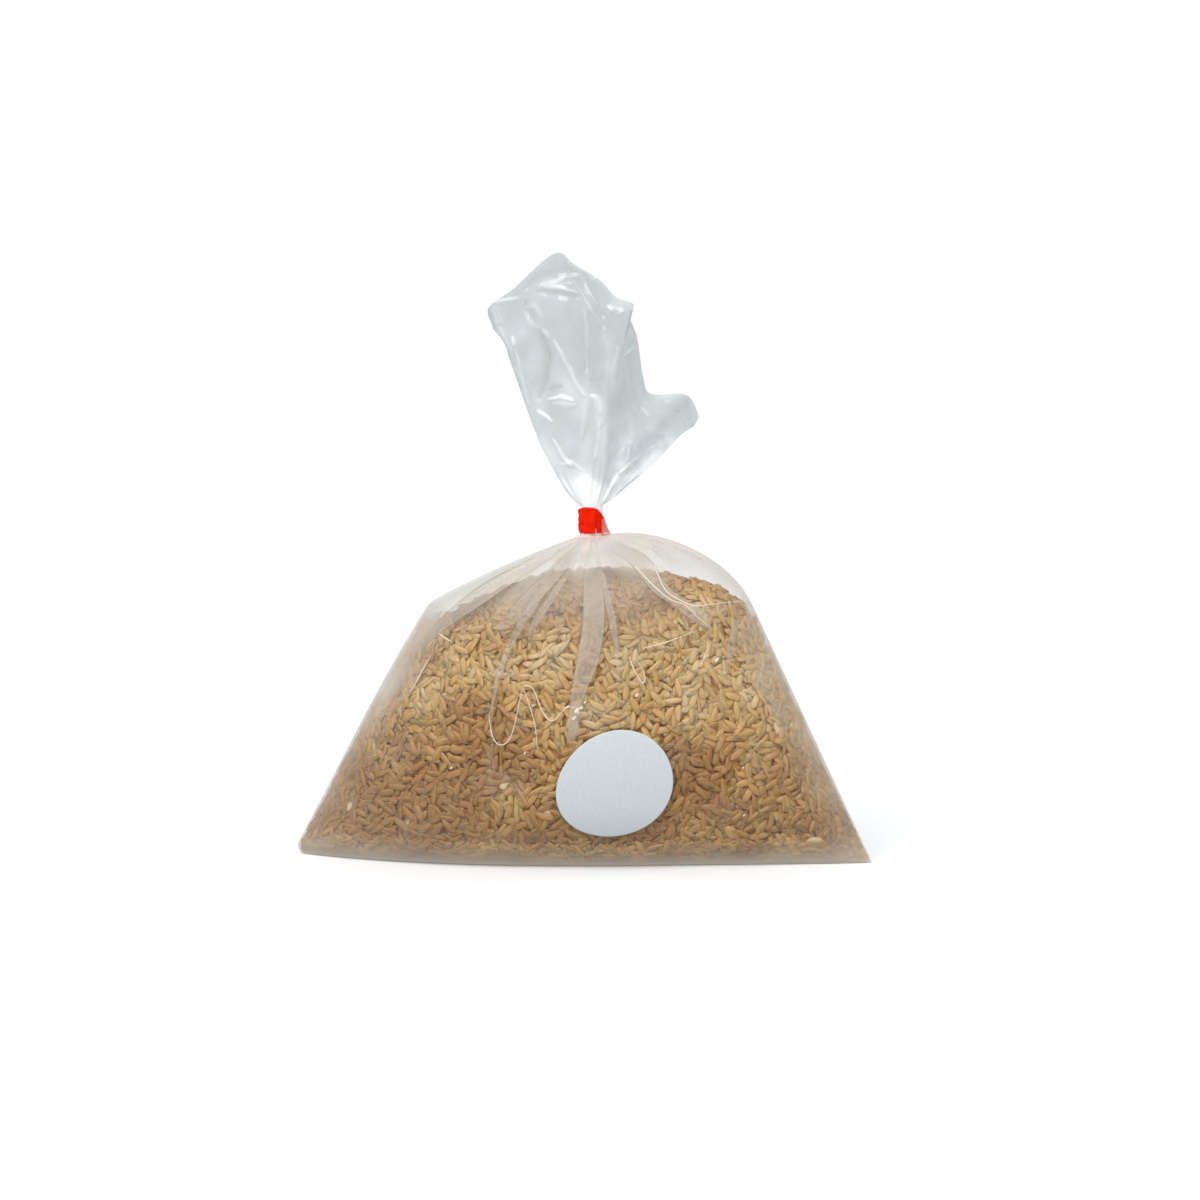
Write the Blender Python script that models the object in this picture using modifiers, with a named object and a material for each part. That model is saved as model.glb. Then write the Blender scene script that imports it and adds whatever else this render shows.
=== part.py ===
"""A clear film bag of rice, tied at the neck with red tape, with a blank oval label on its front.

Metres, +Z up. The bag stands on its flat base with the origin under its middle, and its front faces -Y.
The bag is one closed solid: body, gathered neck and the loose film above the tape. Its rings are a loft
between unlike sections, so they are worked out by formula and joined row by row.
"""

import math

import bmesh
import bpy

# Film tube and base
LEFT_CORNER_X = -0.1268  # the bag laid flat is about 250 mm wide
LEFT_CORNER_Z = 0.0045  # the left corner is a soft nose held a little off the table
RIGHT_CORNER_X = 0.1268  # the right corner ends in a flat tip on the table
RIGHT_CORNER_Z = 0.0012
CORNER_TUCK = 0.002  # how far the left corner draws in below its nose
SIDE_BOW = 0.0035  # the left side bows outwards
LEFT_CORNER_BACK = 0.008  # the left corner turns back and the right one forwards
RIGHT_CORNER_FORWARD = 0.013
CORNER_TURN_START = 0.030  # where the corners begin to turn
BASE_HALF_DEPTH = 0.025
BULGE_HALF_DEPTH = 0.038  # half of the body's greatest depth
BULGE_Z = 0.036
SHOULDER_HALF_DEPTH = 0.032
BASE_PINCH = 1.6  # how lens-like the section is at the base, 1 being an ellipse
SIDE_PINCH = 1.25  # the same at the shoulder

# Shoulder and gathered top
LEFT_SHOULDER_X = -0.0675
RIGHT_SHOULDER_X = 0.0752
SHOULDER_Z = 0.1122  # at the sides
FRONT_SHOULDER_Z = 0.104
LEFT_RISE = 0.004  # length of the wall's tangent at the shoulder
RIGHT_RISE = 0.020
FRONT_RISE = 0.016
LEFT_REACH = 0.030  # length of the film's tangent where it leaves the neck
RIGHT_REACH = 0.024
FRONT_REACH = 0.014
LEFT_SLOPE = -0.40
RIGHT_SLOPE = 0.08
FRONT_SLOPE = -0.25
PLEAT_COUNT = 15
PLEAT_HEIGHT = 0.0016

# Neck and its tape
NECK_X = 0.0045
NECK_RADIUS = 0.0050
NECK_BOTTOM_Z = 0.1426
NECK_TOP_Z = 0.1558
TAPE_HEIGHT = 0.012
TAPE_BOTTOM_Z = 0.1432
TAPE_WALL = 0.0008
TAPE_GAP = 0.0004
TAPE_FLARE = 0.0006  # the tape's lower edge is this much wider
TAPE_SIDES = 40

# Loose film above the tape: its rim seen from the front, as (x, z) from the middle of the neck's top
TAIL_RIM = (
    (-0.0375, 0.0710),
    (-0.0412, 0.0755),
    (-0.0447, 0.0845),
    (-0.0437, 0.0882),
    (-0.0346, 0.0954),
    (-0.0195, 0.1080),
    (-0.0131, 0.1107),
    (-0.0077, 0.1053),
    (0.0040, 0.0990),
    (0.0121, 0.0905),
    (0.0183, 0.0887),
    (0.0166, 0.0829),
    (0.0200, 0.0748),
    (0.0230, 0.0550),
    (0.0264, 0.0479),
    (0.0410, 0.0478),
    (0.0448, 0.0440),
    (0.0480, 0.0375),
    (0.0465, 0.0345),
)
TAIL_LEFT_BOW = 0.0040  # the left edge bows outwards
TAIL_RIGHT_BOW = 0.0015
TAIL_HALF_THICKNESS = 0.0050
RIM_HALF_THICKNESS = 0.0008
TAIL_WAVE = 0.0065
TAIL_RIPPLE = 0.0022
RIGHT_EAR_LEAN = 0.026  # the right ear leans back, away from the front
LEFT_EAR_LEAN = -0.010

# Blank oval label on the front
LABEL_X = 0.0138
LABEL_Z = 0.0372
LABEL_HALF_LENGTH = 0.0258
LABEL_HALF_WIDTH = 0.0224
LABEL_TILT = math.radians(27)
LABEL_EGG = 0.08  # how much wider the upper right end is
LABEL_THICKNESS = 0.0003
LABEL_GAP = 0.0004
LABEL_RINGS = 9
LABEL_SIDES = 40

# How finely the loft is divided
COLUMNS = 96
WALL_ROWS = 13
SHOULDER_ROWS = 12
NECK_ROWS = 2
TAIL_ROWS = 14

FILM_COLOUR = (0.72, 0.55, 0.36, 1.0)
TAPE_COLOUR = (0.87, 0.03, 0.01, 1.0)
LABEL_COLOUR = (0.68, 0.73, 0.75, 1.0)


def mix(a, b, share):
    """The value share of the way from a to b."""
    return a + (b - a) * share


def ease(share):
    """A smooth step from 0 to 1."""
    share = min(1.0, max(0.0, share))
    return share * share * (3 - 2 * share)


def by_side(angle, left, right, front):
    """A value that is left, right or front (and back) by the angle round the bag, blended between."""
    across = math.cos(angle)
    side = right if across > 0 else left
    return mix(front, side, across * across)


def left_edge(z):
    """The film's left edge at a height: a straight side over a rounded nose."""
    if z < LEFT_CORNER_Z:
        drop = 1 - z / LEFT_CORNER_Z
        return LEFT_CORNER_X + CORNER_TUCK * drop * drop
    share = (z - LEFT_CORNER_Z) / (SHOULDER_Z - LEFT_CORNER_Z)
    return mix(LEFT_CORNER_X, LEFT_SHOULDER_X, share) - SIDE_BOW * 4 * share * (1 - share) * share


def right_edge(z):
    """The film's right edge at a height: a straight side down to the tip."""
    return mix(RIGHT_CORNER_X, RIGHT_SHOULDER_X, (z - RIGHT_CORNER_Z) / (SHOULDER_Z - RIGHT_CORNER_Z))


def half_depth(z):
    """Half of the body's depth at a height: rolled under at the base, fullest low down."""
    if z < BULGE_Z:
        drop = 1 - z / BULGE_Z
        return mix(BULGE_HALF_DEPTH, BASE_HALF_DEPTH, drop**3)
    return mix(BULGE_HALF_DEPTH, SHOULDER_HALF_DEPTH, ((z - BULGE_Z) / (SHOULDER_Z - BULGE_Z)) ** 2)


def pinch(z):
    """How strongly the section narrows to its side edges at a height."""
    return mix(BASE_PINCH, SIDE_PINCH, ease(z / SHOULDER_Z * 1.6))


def seam_y(x):
    """Where the middle of the body lies front to back: its corners turn a little, one each way."""
    turn = (abs(x) - CORNER_TURN_START) / (RIGHT_CORNER_X - CORNER_TURN_START)
    reach = LEFT_CORNER_BACK if x < 0 else -RIGHT_CORNER_FORWARD
    return reach * max(turn, 0.0) ** 2


def wall_point(angle, z):
    """A point of the body's wall at an angle round it and a height."""
    left, right = left_edge(z), right_edge(z)
    x = (left + right) / 2 + (right - left) / 2 * math.cos(angle)
    up = math.sin(angle)
    y = math.copysign(half_depth(z) * abs(up) ** pinch(z), up)
    return x, seam_y(x) + y, z


def shoulder_z(angle):
    """The height of the shoulder at an angle round the bag."""
    return by_side(angle, SHOULDER_Z, SHOULDER_Z, FRONT_SHOULDER_Z)


def pleat_lift(angle, share):
    """How far the gathered film stands up in uneven pleats, share being the way from shoulder to neck."""
    phase = PLEAT_COUNT * angle + 1.3 * math.sin(3 * angle + 0.4) + 0.8 * math.sin(5 * angle + 2.0)
    fade = ease(share * 1.5) * ease((1 - share) * 4)
    return PLEAT_HEIGHT * fade * math.cos(phase)


def shoulder_point(angle, share):
    """A point of the gathered top: a cubic curve from the shoulder to the neck, with pleats."""
    foot_z = shoulder_z(angle)
    foot = wall_point(angle, foot_z)
    below = wall_point(angle, foot_z - 0.01)
    up = [f - b for f, b in zip(foot, below)]
    length = math.hypot(*up)
    rise = by_side(angle, LEFT_RISE, RIGHT_RISE, FRONT_RISE)
    first = [f + u / length * rise for f, u in zip(foot, up)]
    out_x, out_y = math.cos(angle), math.sin(angle)
    neck = (NECK_X + NECK_RADIUS * out_x, NECK_RADIUS * out_y, NECK_BOTTOM_Z)
    reach = by_side(angle, LEFT_REACH, RIGHT_REACH, FRONT_REACH)
    slope = by_side(angle, LEFT_SLOPE, RIGHT_SLOPE, FRONT_SLOPE)
    second = (neck[0] + reach * out_x, neck[1] + reach * out_y, neck[2] + reach * slope)
    rest = 1 - share
    weights = (rest**3, 3 * rest * rest * share, 3 * rest * share * share, share**3)
    point = [sum(w * c for w, c in zip(weights, axis)) for axis in zip(foot, first, second, neck)]
    middle = (NECK_X, 0.0, SHOULDER_Z / 2)
    away = [p - m for p, m in zip(point, middle)]
    lift = pleat_lift(angle, share) / math.hypot(*away)
    return tuple(p + a * lift for p, a in zip(point, away))


def rim_point(share):
    """The tail's rim seen from the front, share being the way from its left end to its right end."""
    place = share * (len(TAIL_RIM) - 1)
    i = min(int(place), len(TAIL_RIM) - 2)
    before, start = TAIL_RIM[max(i - 1, 0)], TAIL_RIM[i]
    end, after = TAIL_RIM[i + 1], TAIL_RIM[min(i + 2, len(TAIL_RIM) - 1)]
    t = place - i
    rounded = []
    for a, b, c, d in zip(before, start, end, after):
        bend = (2 * a - 5 * b + 4 * c - d) * t * t + (3 * b - a - 3 * c + d) * t**3
        rounded.append(b + ((c - a) * t + bend) / 2)
    return rounded


def tail_depth(across, height):
    """Where the middle of the two film layers lies front to back in the tail."""
    wave = TAIL_WAVE * math.sin(2 * math.pi * (1.55 * across + 0.10))
    ripple = TAIL_RIPPLE * math.sin(2 * math.pi * (4.3 * across + 0.35))
    right = RIGHT_EAR_LEAN * ease((across - 0.62) / 0.38)
    left = LEFT_EAR_LEAN * ease((0.25 - across) / 0.25)
    return (wave + ripple) * ease(height * 1.3) + (right + left) * height * height


def tail_point(angle, height):
    """A point of the loose film above the tape, height being the way from the tape to the rim."""
    turn = angle / math.pi % 2
    across = 1 - turn if turn <= 1 else turn - 1
    rim_x, rim_z = rim_point(across)
    out_x, out_y = math.cos(angle), math.sin(angle)
    left_bow = TAIL_LEFT_BOW * (1 - ease(across * 3))
    right_bow = TAIL_RIGHT_BOW * ease(across * 4 - 3)
    bow = (right_bow - left_bow) * 4 * height * (1 - height)
    x = NECK_X + mix(NECK_RADIUS * out_x, rim_x, height) + bow
    z = NECK_TOP_Z + rim_z * height
    swell = mix(NECK_RADIUS, TAIL_HALF_THICKNESS, ease(height * 4))
    swell = mix(swell, RIM_HALF_THICKNESS, ease((height - 0.35) / 0.65))
    y = tail_depth(across, height) + swell * math.copysign(abs(out_y) ** 0.8, out_y)
    return x, y, z


def bag_rings():
    """The bag's sections from the base up, each a closed ring of points."""
    angles = [2 * math.pi * i / COLUMNS for i in range(COLUMNS)]
    rings = []
    for row in range(WALL_ROWS + 1):
        share = (row / WALL_ROWS) ** 1.35
        rings.append([wall_point(a, share * shoulder_z(a)) for a in angles])
    for row in range(1, SHOULDER_ROWS + 1):
        rings.append([shoulder_point(a, row / SHOULDER_ROWS) for a in angles])
    for row in range(1, NECK_ROWS + 1):
        z = mix(NECK_BOTTOM_Z, NECK_TOP_Z, row / NECK_ROWS)
        rings.append([(NECK_X + NECK_RADIUS * math.cos(a), NECK_RADIUS * math.sin(a), z) for a in angles])
    for row in range(1, TAIL_ROWS + 1):
        rings.append([tail_point(a, row / TAIL_ROWS) for a in angles])
    return rings


def close_end(mesh, ring):
    """Closes a flattened ring with a strip of faces from its front edge to its back edge."""
    half = len(ring) // 2
    for i in range(half):
        corners = [ring[i], ring[i + 1], ring[-i - 1], ring[-i]]
        mesh.faces.new(list(dict.fromkeys(corners)))


def material(name, colour, roughness):
    """A Principled material of one colour."""
    made = bpy.data.materials.new(name)
    made.use_nodes = True
    shader = made.node_tree.nodes["Principled BSDF"]
    shader.inputs["Base Color"].default_value = colour
    shader.inputs["Roughness"].default_value = roughness
    shader.inputs["Metallic"].default_value = 0.0
    return made


def add_object(name, mesh, finish, collection):
    """Turns a bmesh into a smooth-shaded object with its material."""
    bmesh.ops.recalc_face_normals(mesh, faces=mesh.faces)
    data = bpy.data.meshes.new(name)
    mesh.to_mesh(data)
    mesh.free()
    data.materials.append(finish)
    data.shade_smooth()
    made = bpy.data.objects.new(name, data)
    collection.objects.link(made)
    return made


def make_bag(collection):
    """The film bag with its rice, as one closed solid."""
    mesh = bmesh.new()
    rings = [[mesh.verts.new(p) for p in ring] for ring in bag_rings()]
    for lower, upper in zip(rings, rings[1:]):
        for i in range(COLUMNS):
            j = (i + 1) % COLUMNS
            mesh.faces.new((lower[i], lower[j], upper[j], upper[i]))
    close_end(mesh, rings[0])
    close_end(mesh, rings[-1])
    return add_object("bag", mesh, material("filled_film", FILM_COLOUR, 0.35), collection)


def make_tape(collection):
    """The red tape wound round the neck: a short tube, a little wider at its lower edge."""
    radius = NECK_RADIUS + TAPE_GAP
    bpy.ops.mesh.primitive_cylinder_add(
        vertices=TAPE_SIDES,
        radius=radius,
        depth=TAPE_HEIGHT,
        end_fill_type="NOTHING",
        location=(NECK_X, 0.0, TAPE_BOTTOM_Z + TAPE_HEIGHT / 2),
    )
    tape = bpy.context.object
    tape.name = tape.data.name = "neck_tape"
    for vertex in tape.data.vertices:
        if vertex.co.z < 0:
            vertex.co.x *= 1 + TAPE_FLARE / radius
            vertex.co.y *= 1 + TAPE_FLARE / radius
    wall = tape.modifiers.new("tape_wall", "SOLIDIFY")
    wall.thickness = TAPE_WALL
    wall.offset = 1.0
    tape.data.materials.append(material("red_tape", TAPE_COLOUR, 0.3))
    tape.data.shade_smooth()
    tape.data.set_sharp_from_angle(angle=math.radians(40))
    for owner in list(tape.users_collection):
        owner.objects.unlink(tape)
    collection.objects.link(tape)
    return tape


def front_y(x, z):
    """How far forward the body's wall lies at a place seen from the front."""
    left, right = left_edge(z), right_edge(z)
    across = (x - (left + right) / 2) / ((right - left) / 2)
    return seam_y(x) - half_depth(z) * math.sqrt(1 - across * across) ** pinch(z)


def label_point(turn, reach):
    """A point of the label, reach being the share of the way from its middle to its edge."""
    along = LABEL_HALF_LENGTH * reach * math.cos(turn)
    wide = 1 + LABEL_EGG * math.cos(turn) * reach
    over = LABEL_HALF_WIDTH * reach * math.sin(turn) * wide
    x = LABEL_X + along * math.cos(LABEL_TILT) - over * math.sin(LABEL_TILT)
    z = LABEL_Z + along * math.sin(LABEL_TILT) + over * math.cos(LABEL_TILT)
    return x, front_y(x, z) - LABEL_GAP, z


def make_label(collection):
    """The blank oval label, a thin sheet that follows the bag's front."""
    mesh = bmesh.new()
    middle = mesh.verts.new(label_point(0.0, 0.0))
    turns = [2 * math.pi * i / LABEL_SIDES for i in range(LABEL_SIDES)]
    rings = []
    for ring in range(1, LABEL_RINGS + 1):
        rings.append([mesh.verts.new(label_point(t, ring / LABEL_RINGS)) for t in turns])
    for i in range(LABEL_SIDES):
        j = (i + 1) % LABEL_SIDES
        mesh.faces.new((middle, rings[0][i], rings[0][j]))
        for inner, outer in zip(rings, rings[1:]):
            mesh.faces.new((inner[i], outer[i], outer[j], inner[j]))
    label = add_object("label", mesh, material("label_paper", LABEL_COLOUR, 0.4), collection)
    if label.data.polygons[0].normal.y > 0:
        label.data.flip_normals()
    sheet = label.modifiers.new("paper", "SOLIDIFY")
    sheet.thickness = LABEL_THICKNESS
    sheet.offset = 1.0
    return label


def main():
    for old in list(bpy.data.objects):
        bpy.data.objects.remove(old, do_unlink=True)
    collection = bpy.data.collections.new("bag_of_rice")
    bpy.context.scene.collection.children.link(collection)
    make_bag(collection)
    make_tape(collection)
    make_label(collection)


main()
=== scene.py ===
"""Dresses the bag of rice: clear creased film round loose long grains, red neck tape, a blank oval label.

Laid out as a Blender add-on. Angles round the bag start at its right end and turn through its back, so
the front is at 270 degrees. Sizes are metres, and the driving ones are those of the solids.
"""

import math

import bmesh
import bpy
import numpy as np
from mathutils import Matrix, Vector


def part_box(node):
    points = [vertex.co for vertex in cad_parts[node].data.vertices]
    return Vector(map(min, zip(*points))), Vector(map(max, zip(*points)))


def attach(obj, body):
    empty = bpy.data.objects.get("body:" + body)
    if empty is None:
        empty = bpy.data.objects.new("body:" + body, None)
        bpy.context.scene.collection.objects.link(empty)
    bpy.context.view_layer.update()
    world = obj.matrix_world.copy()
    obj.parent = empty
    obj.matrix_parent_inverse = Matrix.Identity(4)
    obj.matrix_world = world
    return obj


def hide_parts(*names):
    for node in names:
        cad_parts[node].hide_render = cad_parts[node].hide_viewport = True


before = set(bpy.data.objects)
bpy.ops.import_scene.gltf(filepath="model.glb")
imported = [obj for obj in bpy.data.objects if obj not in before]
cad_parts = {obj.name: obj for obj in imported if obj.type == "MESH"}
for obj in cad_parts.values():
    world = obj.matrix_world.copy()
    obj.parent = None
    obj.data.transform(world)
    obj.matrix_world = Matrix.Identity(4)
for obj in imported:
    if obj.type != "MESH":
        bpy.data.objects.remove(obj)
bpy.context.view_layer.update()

bl_info = {
    "name": "Bag of Rice",
    "version": (1, 0, 0),
    "blender": (4, 5, 0),
    "location": "View3D > Sidebar > Bag of Rice",
    "description": "Builds a clear tied bag of long-grain rice round its packed solids",
    "category": "Add Mesh",
}

TAPE_LOW, TAPE_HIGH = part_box("neck_tape")
LABEL_LOW, LABEL_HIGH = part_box("label")

# The oval label: its middle, half its length and width, its tilt and how much wider its upper end is
LABEL_X, LABEL_Z = (LABEL_LOW[0] + LABEL_HIGH[0]) / 2, (LABEL_LOW[2] + LABEL_HIGH[2]) / 2
LABEL_HALF_LENGTH, LABEL_HALF_WIDTH = 0.0258, 0.0224
LABEL_TILT = math.radians(27)
LABEL_EGG = 0.08
# Its least distance from the body's smooth front and from the film, and the height of its slight waves
LABEL_LIFT, LABEL_GAP, LABEL_WAVE = 0.0010, 0.0001, 0.000025

# The filled body: its corners and sides, then its depth, its shoulders and the curves over to the neck
LEFT_CORNER_X, LEFT_CORNER_Z = -0.1268, 0.0045
RIGHT_CORNER_X, RIGHT_CORNER_Z = 0.1268, 0.0012
CORNER_TUCK = 0.002
SIDE_BOW = 0.0024
LEFT_CORNER_BACK, RIGHT_CORNER_FORWARD = 0.008, 0.015
CORNER_TURN_START = 0.030
BASE_HALF_DEPTH, BULGE_HALF_DEPTH, SHOULDER_HALF_DEPTH = 0.025, 0.038, 0.032
BULGE_Z = 0.036
BASE_PINCH, SIDE_PINCH = 1.6, 1.25
LEFT_SHOULDER_X, RIGHT_SHOULDER_X = -0.0675, 0.0752
SHOULDER_Z, FRONT_SHOULDER_Z = 0.1122, 0.104
LEFT_RISE, RIGHT_RISE, FRONT_RISE = 0.004, 0.0265, 0.016
LEFT_REACH, RIGHT_REACH, FRONT_REACH = 0.030, 0.020, 0.014
LEFT_SLOPE, RIGHT_SLOPE, FRONT_SLOPE = -0.40, 0.24, -0.25

# The neck, which the tape holds and which shows a little below and above it
NECK_X = (TAPE_LOW[0] + TAPE_HIGH[0]) / 2
NECK_RADIUS = 0.0050
NECK_SHOWING = 0.0006
NECK_BOTTOM_Z = TAPE_LOW[2] - NECK_SHOWING
NECK_MIDDLE_Z = (TAPE_LOW[2] + TAPE_HIGH[2]) / 2
NECK_TOP_Z = TAPE_HIGH[2] + NECK_SHOWING

# Rows of the body film's grid: in the base, up the wall, over the gathered top and in the neck
BASE_ROWS, WALL_ROWS, GATHER_ROWS, NECK_ROWS = 14, 74, 62, 4
# The film's height where it lies flat, and its least height
FOOT_Z, LEAST_Z = 0.0003, 0.0002
# The loose film's grid, and its sets of pleats: their number, height and how soon they fade
TAIL_COLUMNS, TAIL_ROWS = 440, 190
TAIL_PLEATS = ((26, 0.0008, 3.0), (13, 0.0012, 1.6), (7, 0.0014, 0.7))

# The rice: the film's slack round it, how deep its dark core lies, its foot's height, its rim's height
# at the left, the right and the front, and the least height of a grain
RICE_SLACK, CORE_INSET = 0.0006, 0.0031
RICE_FOOT_Z, RICE_RIM_Z = 0.0012, (0.1030, 0.1100, 0.1045)
LEAST_GRAIN_Z = 0.0006

# The tape: how many turns, where its end lies, its inner radius, how much the radius grows each turn
# and how much shallower than wide the wound tape is
TAPE_TURNS, TAPE_END = 1.36, math.radians(285)
TAPE_RADIUS, TAPE_STEP = 0.00540, 0.00024
TAPE_FLATTENING = 0.92

# The middle of the picture, and half the floor's side
VIEW_MIDDLE = (0.0082, 0.0, 0.1142)
FLOOR_HALF = 8.0

# The loose film's rim seen from the front, as (x, z) from the middle of the neck's top
TAIL_RIM = np.array(
    (
        (-0.0372, 0.0697),
        (-0.0425, 0.0768),
        (-0.0451, 0.0838),
        (-0.0432, 0.0881),
        (-0.0338, 0.0948),
        (-0.0200, 0.1072),
        (-0.0133, 0.1098),
        (-0.0083, 0.1055),
        (0.0036, 0.0981),
        (0.0108, 0.0907),
        (0.0182, 0.0878),
        (0.0165, 0.0830),
        (0.0200, 0.0735),
        (0.0228, 0.0560),
        (0.0262, 0.0487),
        (0.0405, 0.0485),
        (0.0452, 0.0448),
        (0.0477, 0.0379),
        (0.0455, 0.0343),
    )
)
# How far the loose film reaches to each side at heights above the neck's top, as (z, x)
TAIL_LEFT = np.array(
    (
        (0.0000, -0.0060), (0.0025, -0.0091), (0.0131, -0.0152), (0.0273, -0.0227), (0.0414, -0.0280),
        (0.0555, -0.0328), (0.0661, -0.0363), (0.0697, -0.0372), (0.0732, -0.0394), (0.0768, -0.0425),
        (0.0838, -0.0452), (0.1200, -0.0452),
    )
)
TAIL_RIGHT = np.array(
    (
        (0.0000, 0.0060), (0.0025, 0.0094), (0.0061, 0.0129), (0.0131, 0.0213), (0.0202, 0.0292),
        (0.0273, 0.0363), (0.0308, 0.0398), (0.0343, 0.0455), (0.0379, 0.0477), (0.1200, 0.0480),
    )
)
# The rice's heaped top seen from the front, as (x, z)
RICE_TOP = np.array(
    (
        (-0.0720, 0.0985), (-0.0635, 0.1050), (-0.0556, 0.1110), (-0.0358, 0.1203), (-0.0226, 0.1254),
        (-0.0094, 0.1278), (0.0060, 0.1292), (0.0180, 0.1294), (0.0302, 0.1280), (0.0478, 0.1252),
        (0.0610, 0.1216), (0.0702, 0.1150), (0.0745, 0.1090),
    )
)
# The middle and the spread of the grains' shades, from 0 for amber to 1 for chalk
SHADE_MIDDLE, SHADE_SPREAD = 0.54, 0.07
# Where grains are darker, or lighter if negative: how much, then the two heights z and the two places x
# between which it sets in. A range outside the bag stands for all of it. The lower half's darkening is
# painted shade from light above, and the bottom's lightening is painted light on the film's foot.
THROUGHOUT = (-2.0, -1.0)
RICE_SHADES = {
    "top_but_right": (0.12, (0.092, 0.112), (0.050, 0.025)),
    "lower_right": (0.07, (0.06, 0.02), (0.03, 0.08)),
    # Painted shade: the lower half darker, as light falls from above
    "lower_painted_shade": (0.38, (0.085, 0.025), THROUGHOUT),
    "left": (0.17, THROUGHOUT, (-0.02, -0.07)),
    "top": (0.18, (0.095, 0.115), THROUGHOUT),
    # Painted light: the bottom lighter, where little light reaches the foot
    "bottom": (-0.18, (0.012, 0.004), THROUGHOUT),
}
# Spots where grains turn darker amber, most those lying deep: the rice's own amber with painted shade
# deep between the grains. Each is x, z, reach and strength
AMBER_AND_SHADE_SPOTS = (
    (-0.0380, 0.0520, 0.016, 0.55),
    (-0.0350, 0.0710, 0.009, 0.40),
    (0.0500, 0.0430, 0.015, 0.55),
    (-0.0830, 0.0240, 0.014, 0.35),
    (0.0220, 0.0280, 0.012, 0.25),
)

# Flattened pleats of the front film: haze, then points (x, z) seen from the front with the width at each
PLEATS = {
    "middle_band": (0.36, ((0.0035, 0.1400, 0.0020), (0.0050, 0.1240, 0.0085), (0.0055, 0.1080, 0.0098),
                    (0.0030, 0.0920, 0.0095), (-0.0010, 0.0780, 0.0062), (-0.0040, 0.0640, 0.0030),
                    (-0.0052, 0.0560, 0.0012))),
    "middle_thin": (0.30, ((0.0060, 0.1390, 0.0010), (0.0095, 0.1250, 0.0028), (0.0135, 0.1080, 0.0030),
                    (0.0155, 0.0930, 0.0018), (0.0160, 0.0790, 0.0008))),
    "left_band": (0.26, ((0.0000, 0.1400, 0.0020), (-0.0110, 0.1280, 0.0060), (-0.0230, 0.1160, 0.0070),
                  (-0.0320, 0.1070, 0.0050), (-0.0370, 0.1030, 0.0020))),
    "left_long": (0.26, ((-0.0020, 0.1370, 0.0010), (-0.0150, 0.1220, 0.0030), (-0.0240, 0.1090, 0.0036),
                  (-0.0310, 0.0960, 0.0026), (-0.0365, 0.0800, 0.0018), (-0.0385, 0.0640, 0.0010),
                  (-0.0375, 0.0420, 0.0006))),
    "left_short": (0.26, ((-0.0010, 0.1350, 0.0010), (-0.0110, 0.1200, 0.0030), (-0.0190, 0.1080, 0.0032),
                   (-0.0222, 0.1010, 0.0022))),
    "left_wide": (0.36, ((-0.0020, 0.1410, 0.0020), (-0.0250, 0.1290, 0.0050), (-0.0430, 0.1180, 0.0070),
                  (-0.0590, 0.1060, 0.0050), (-0.0700, 0.0950, 0.0016))),
    "right_band": (0.34, ((0.0090, 0.1405, 0.0030), (0.0215, 0.1350, 0.0060), (0.0275, 0.1300, 0.0078),
                   (0.0335, 0.1222, 0.0070), (0.0405, 0.1165, 0.0050), (0.0500, 0.1100, 0.0065),
                   (0.0560, 0.1045, 0.0020))),
    "right_thin": (0.24, ((0.0690, 0.1100, 0.0012), (0.0660, 0.1010, 0.0030), (0.0640, 0.0920, 0.0024),
                   (0.0630, 0.0850, 0.0008))),
    "right_edge": (0.24, ((0.0718, 0.1150, 0.0010), (0.0730, 0.1060, 0.0020), (0.0735, 0.0980, 0.0010))),
}

# Sharp raised creases of the front film, whose milky cream paints highlights along them, as (x, z, width)
CREASES = {
    "left_u": ((-0.0395, 0.0680, 0.00020), (-0.0378, 0.0580, 0.00030), (-0.0340, 0.0548, 0.00033),
               (-0.0295, 0.0600, 0.00030), (-0.0248, 0.0805, 0.00020)),
    "left_w": ((-0.0248, 0.0805, 0.00020), (-0.0205, 0.0790, 0.00026), (-0.0165, 0.0695, 0.00030),
               (-0.0120, 0.0655, 0.00033), (-0.0060, 0.0712, 0.00026), (-0.0005, 0.0705, 0.00016)),
    "left_drop": ((-0.0248, 0.0800, 0.00016), (-0.0200, 0.0650, 0.00026), (-0.0185, 0.0520, 0.00016)),
    "right_line": ((0.0262, 0.0962, 0.00016), (0.0360, 0.0985, 0.00030), (0.0495, 0.1032, 0.00016)),
    "flap_low": ((0.0232, 0.1310, 0.00020), (0.0305, 0.1233, 0.00033), (0.0382, 0.1168, 0.00033),
                 (0.0446, 0.1142, 0.00033), (0.0511, 0.1082, 0.00026), (0.0562, 0.1043, 0.00016)),
    "flap_high": ((0.0318, 0.1310, 0.00016), (0.0361, 0.1211, 0.00030), (0.0425, 0.1164, 0.00033),
                  (0.0490, 0.1138, 0.00033), (0.0575, 0.1142, 0.00026), (0.0725, 0.1147, 0.00016)),
    "right_loop": ((0.0205, 0.0930, 0.00020), (0.0235, 0.0860, 0.00033), (0.0265, 0.0815, 0.00033),
                   (0.0272, 0.0850, 0.00026), (0.0235, 0.0925, 0.00016)),
    "right_drop": ((0.0560, 0.0985, 0.00016), (0.0525, 0.0905, 0.00026), (0.0505, 0.0880, 0.00020)),
    "left_glint": ((-0.0620, 0.1010, 0.00020), (-0.0585, 0.0990, 0.00046), (-0.0560, 0.0980, 0.00020)),
    "left_side": ((-0.0745, 0.0750, 0.00016), (-0.0690, 0.0850, 0.00030), (-0.0650, 0.0920, 0.00016)),
}

# How much wider than drawn the creases are made, how milky they and the glints are, which paints their
# highlights, how far folds keep off the film, and what film without a tint lets through
CREASE_WIDENING = 1.55
CREASE_HIGHLIGHT_HAZE, GLINT_HIGHLIGHT_HAZE = 0.85, 1.0
FOLD_GAP = 0.00012
UNTINTED = (1.0, 1.0, 1.0)
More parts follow.
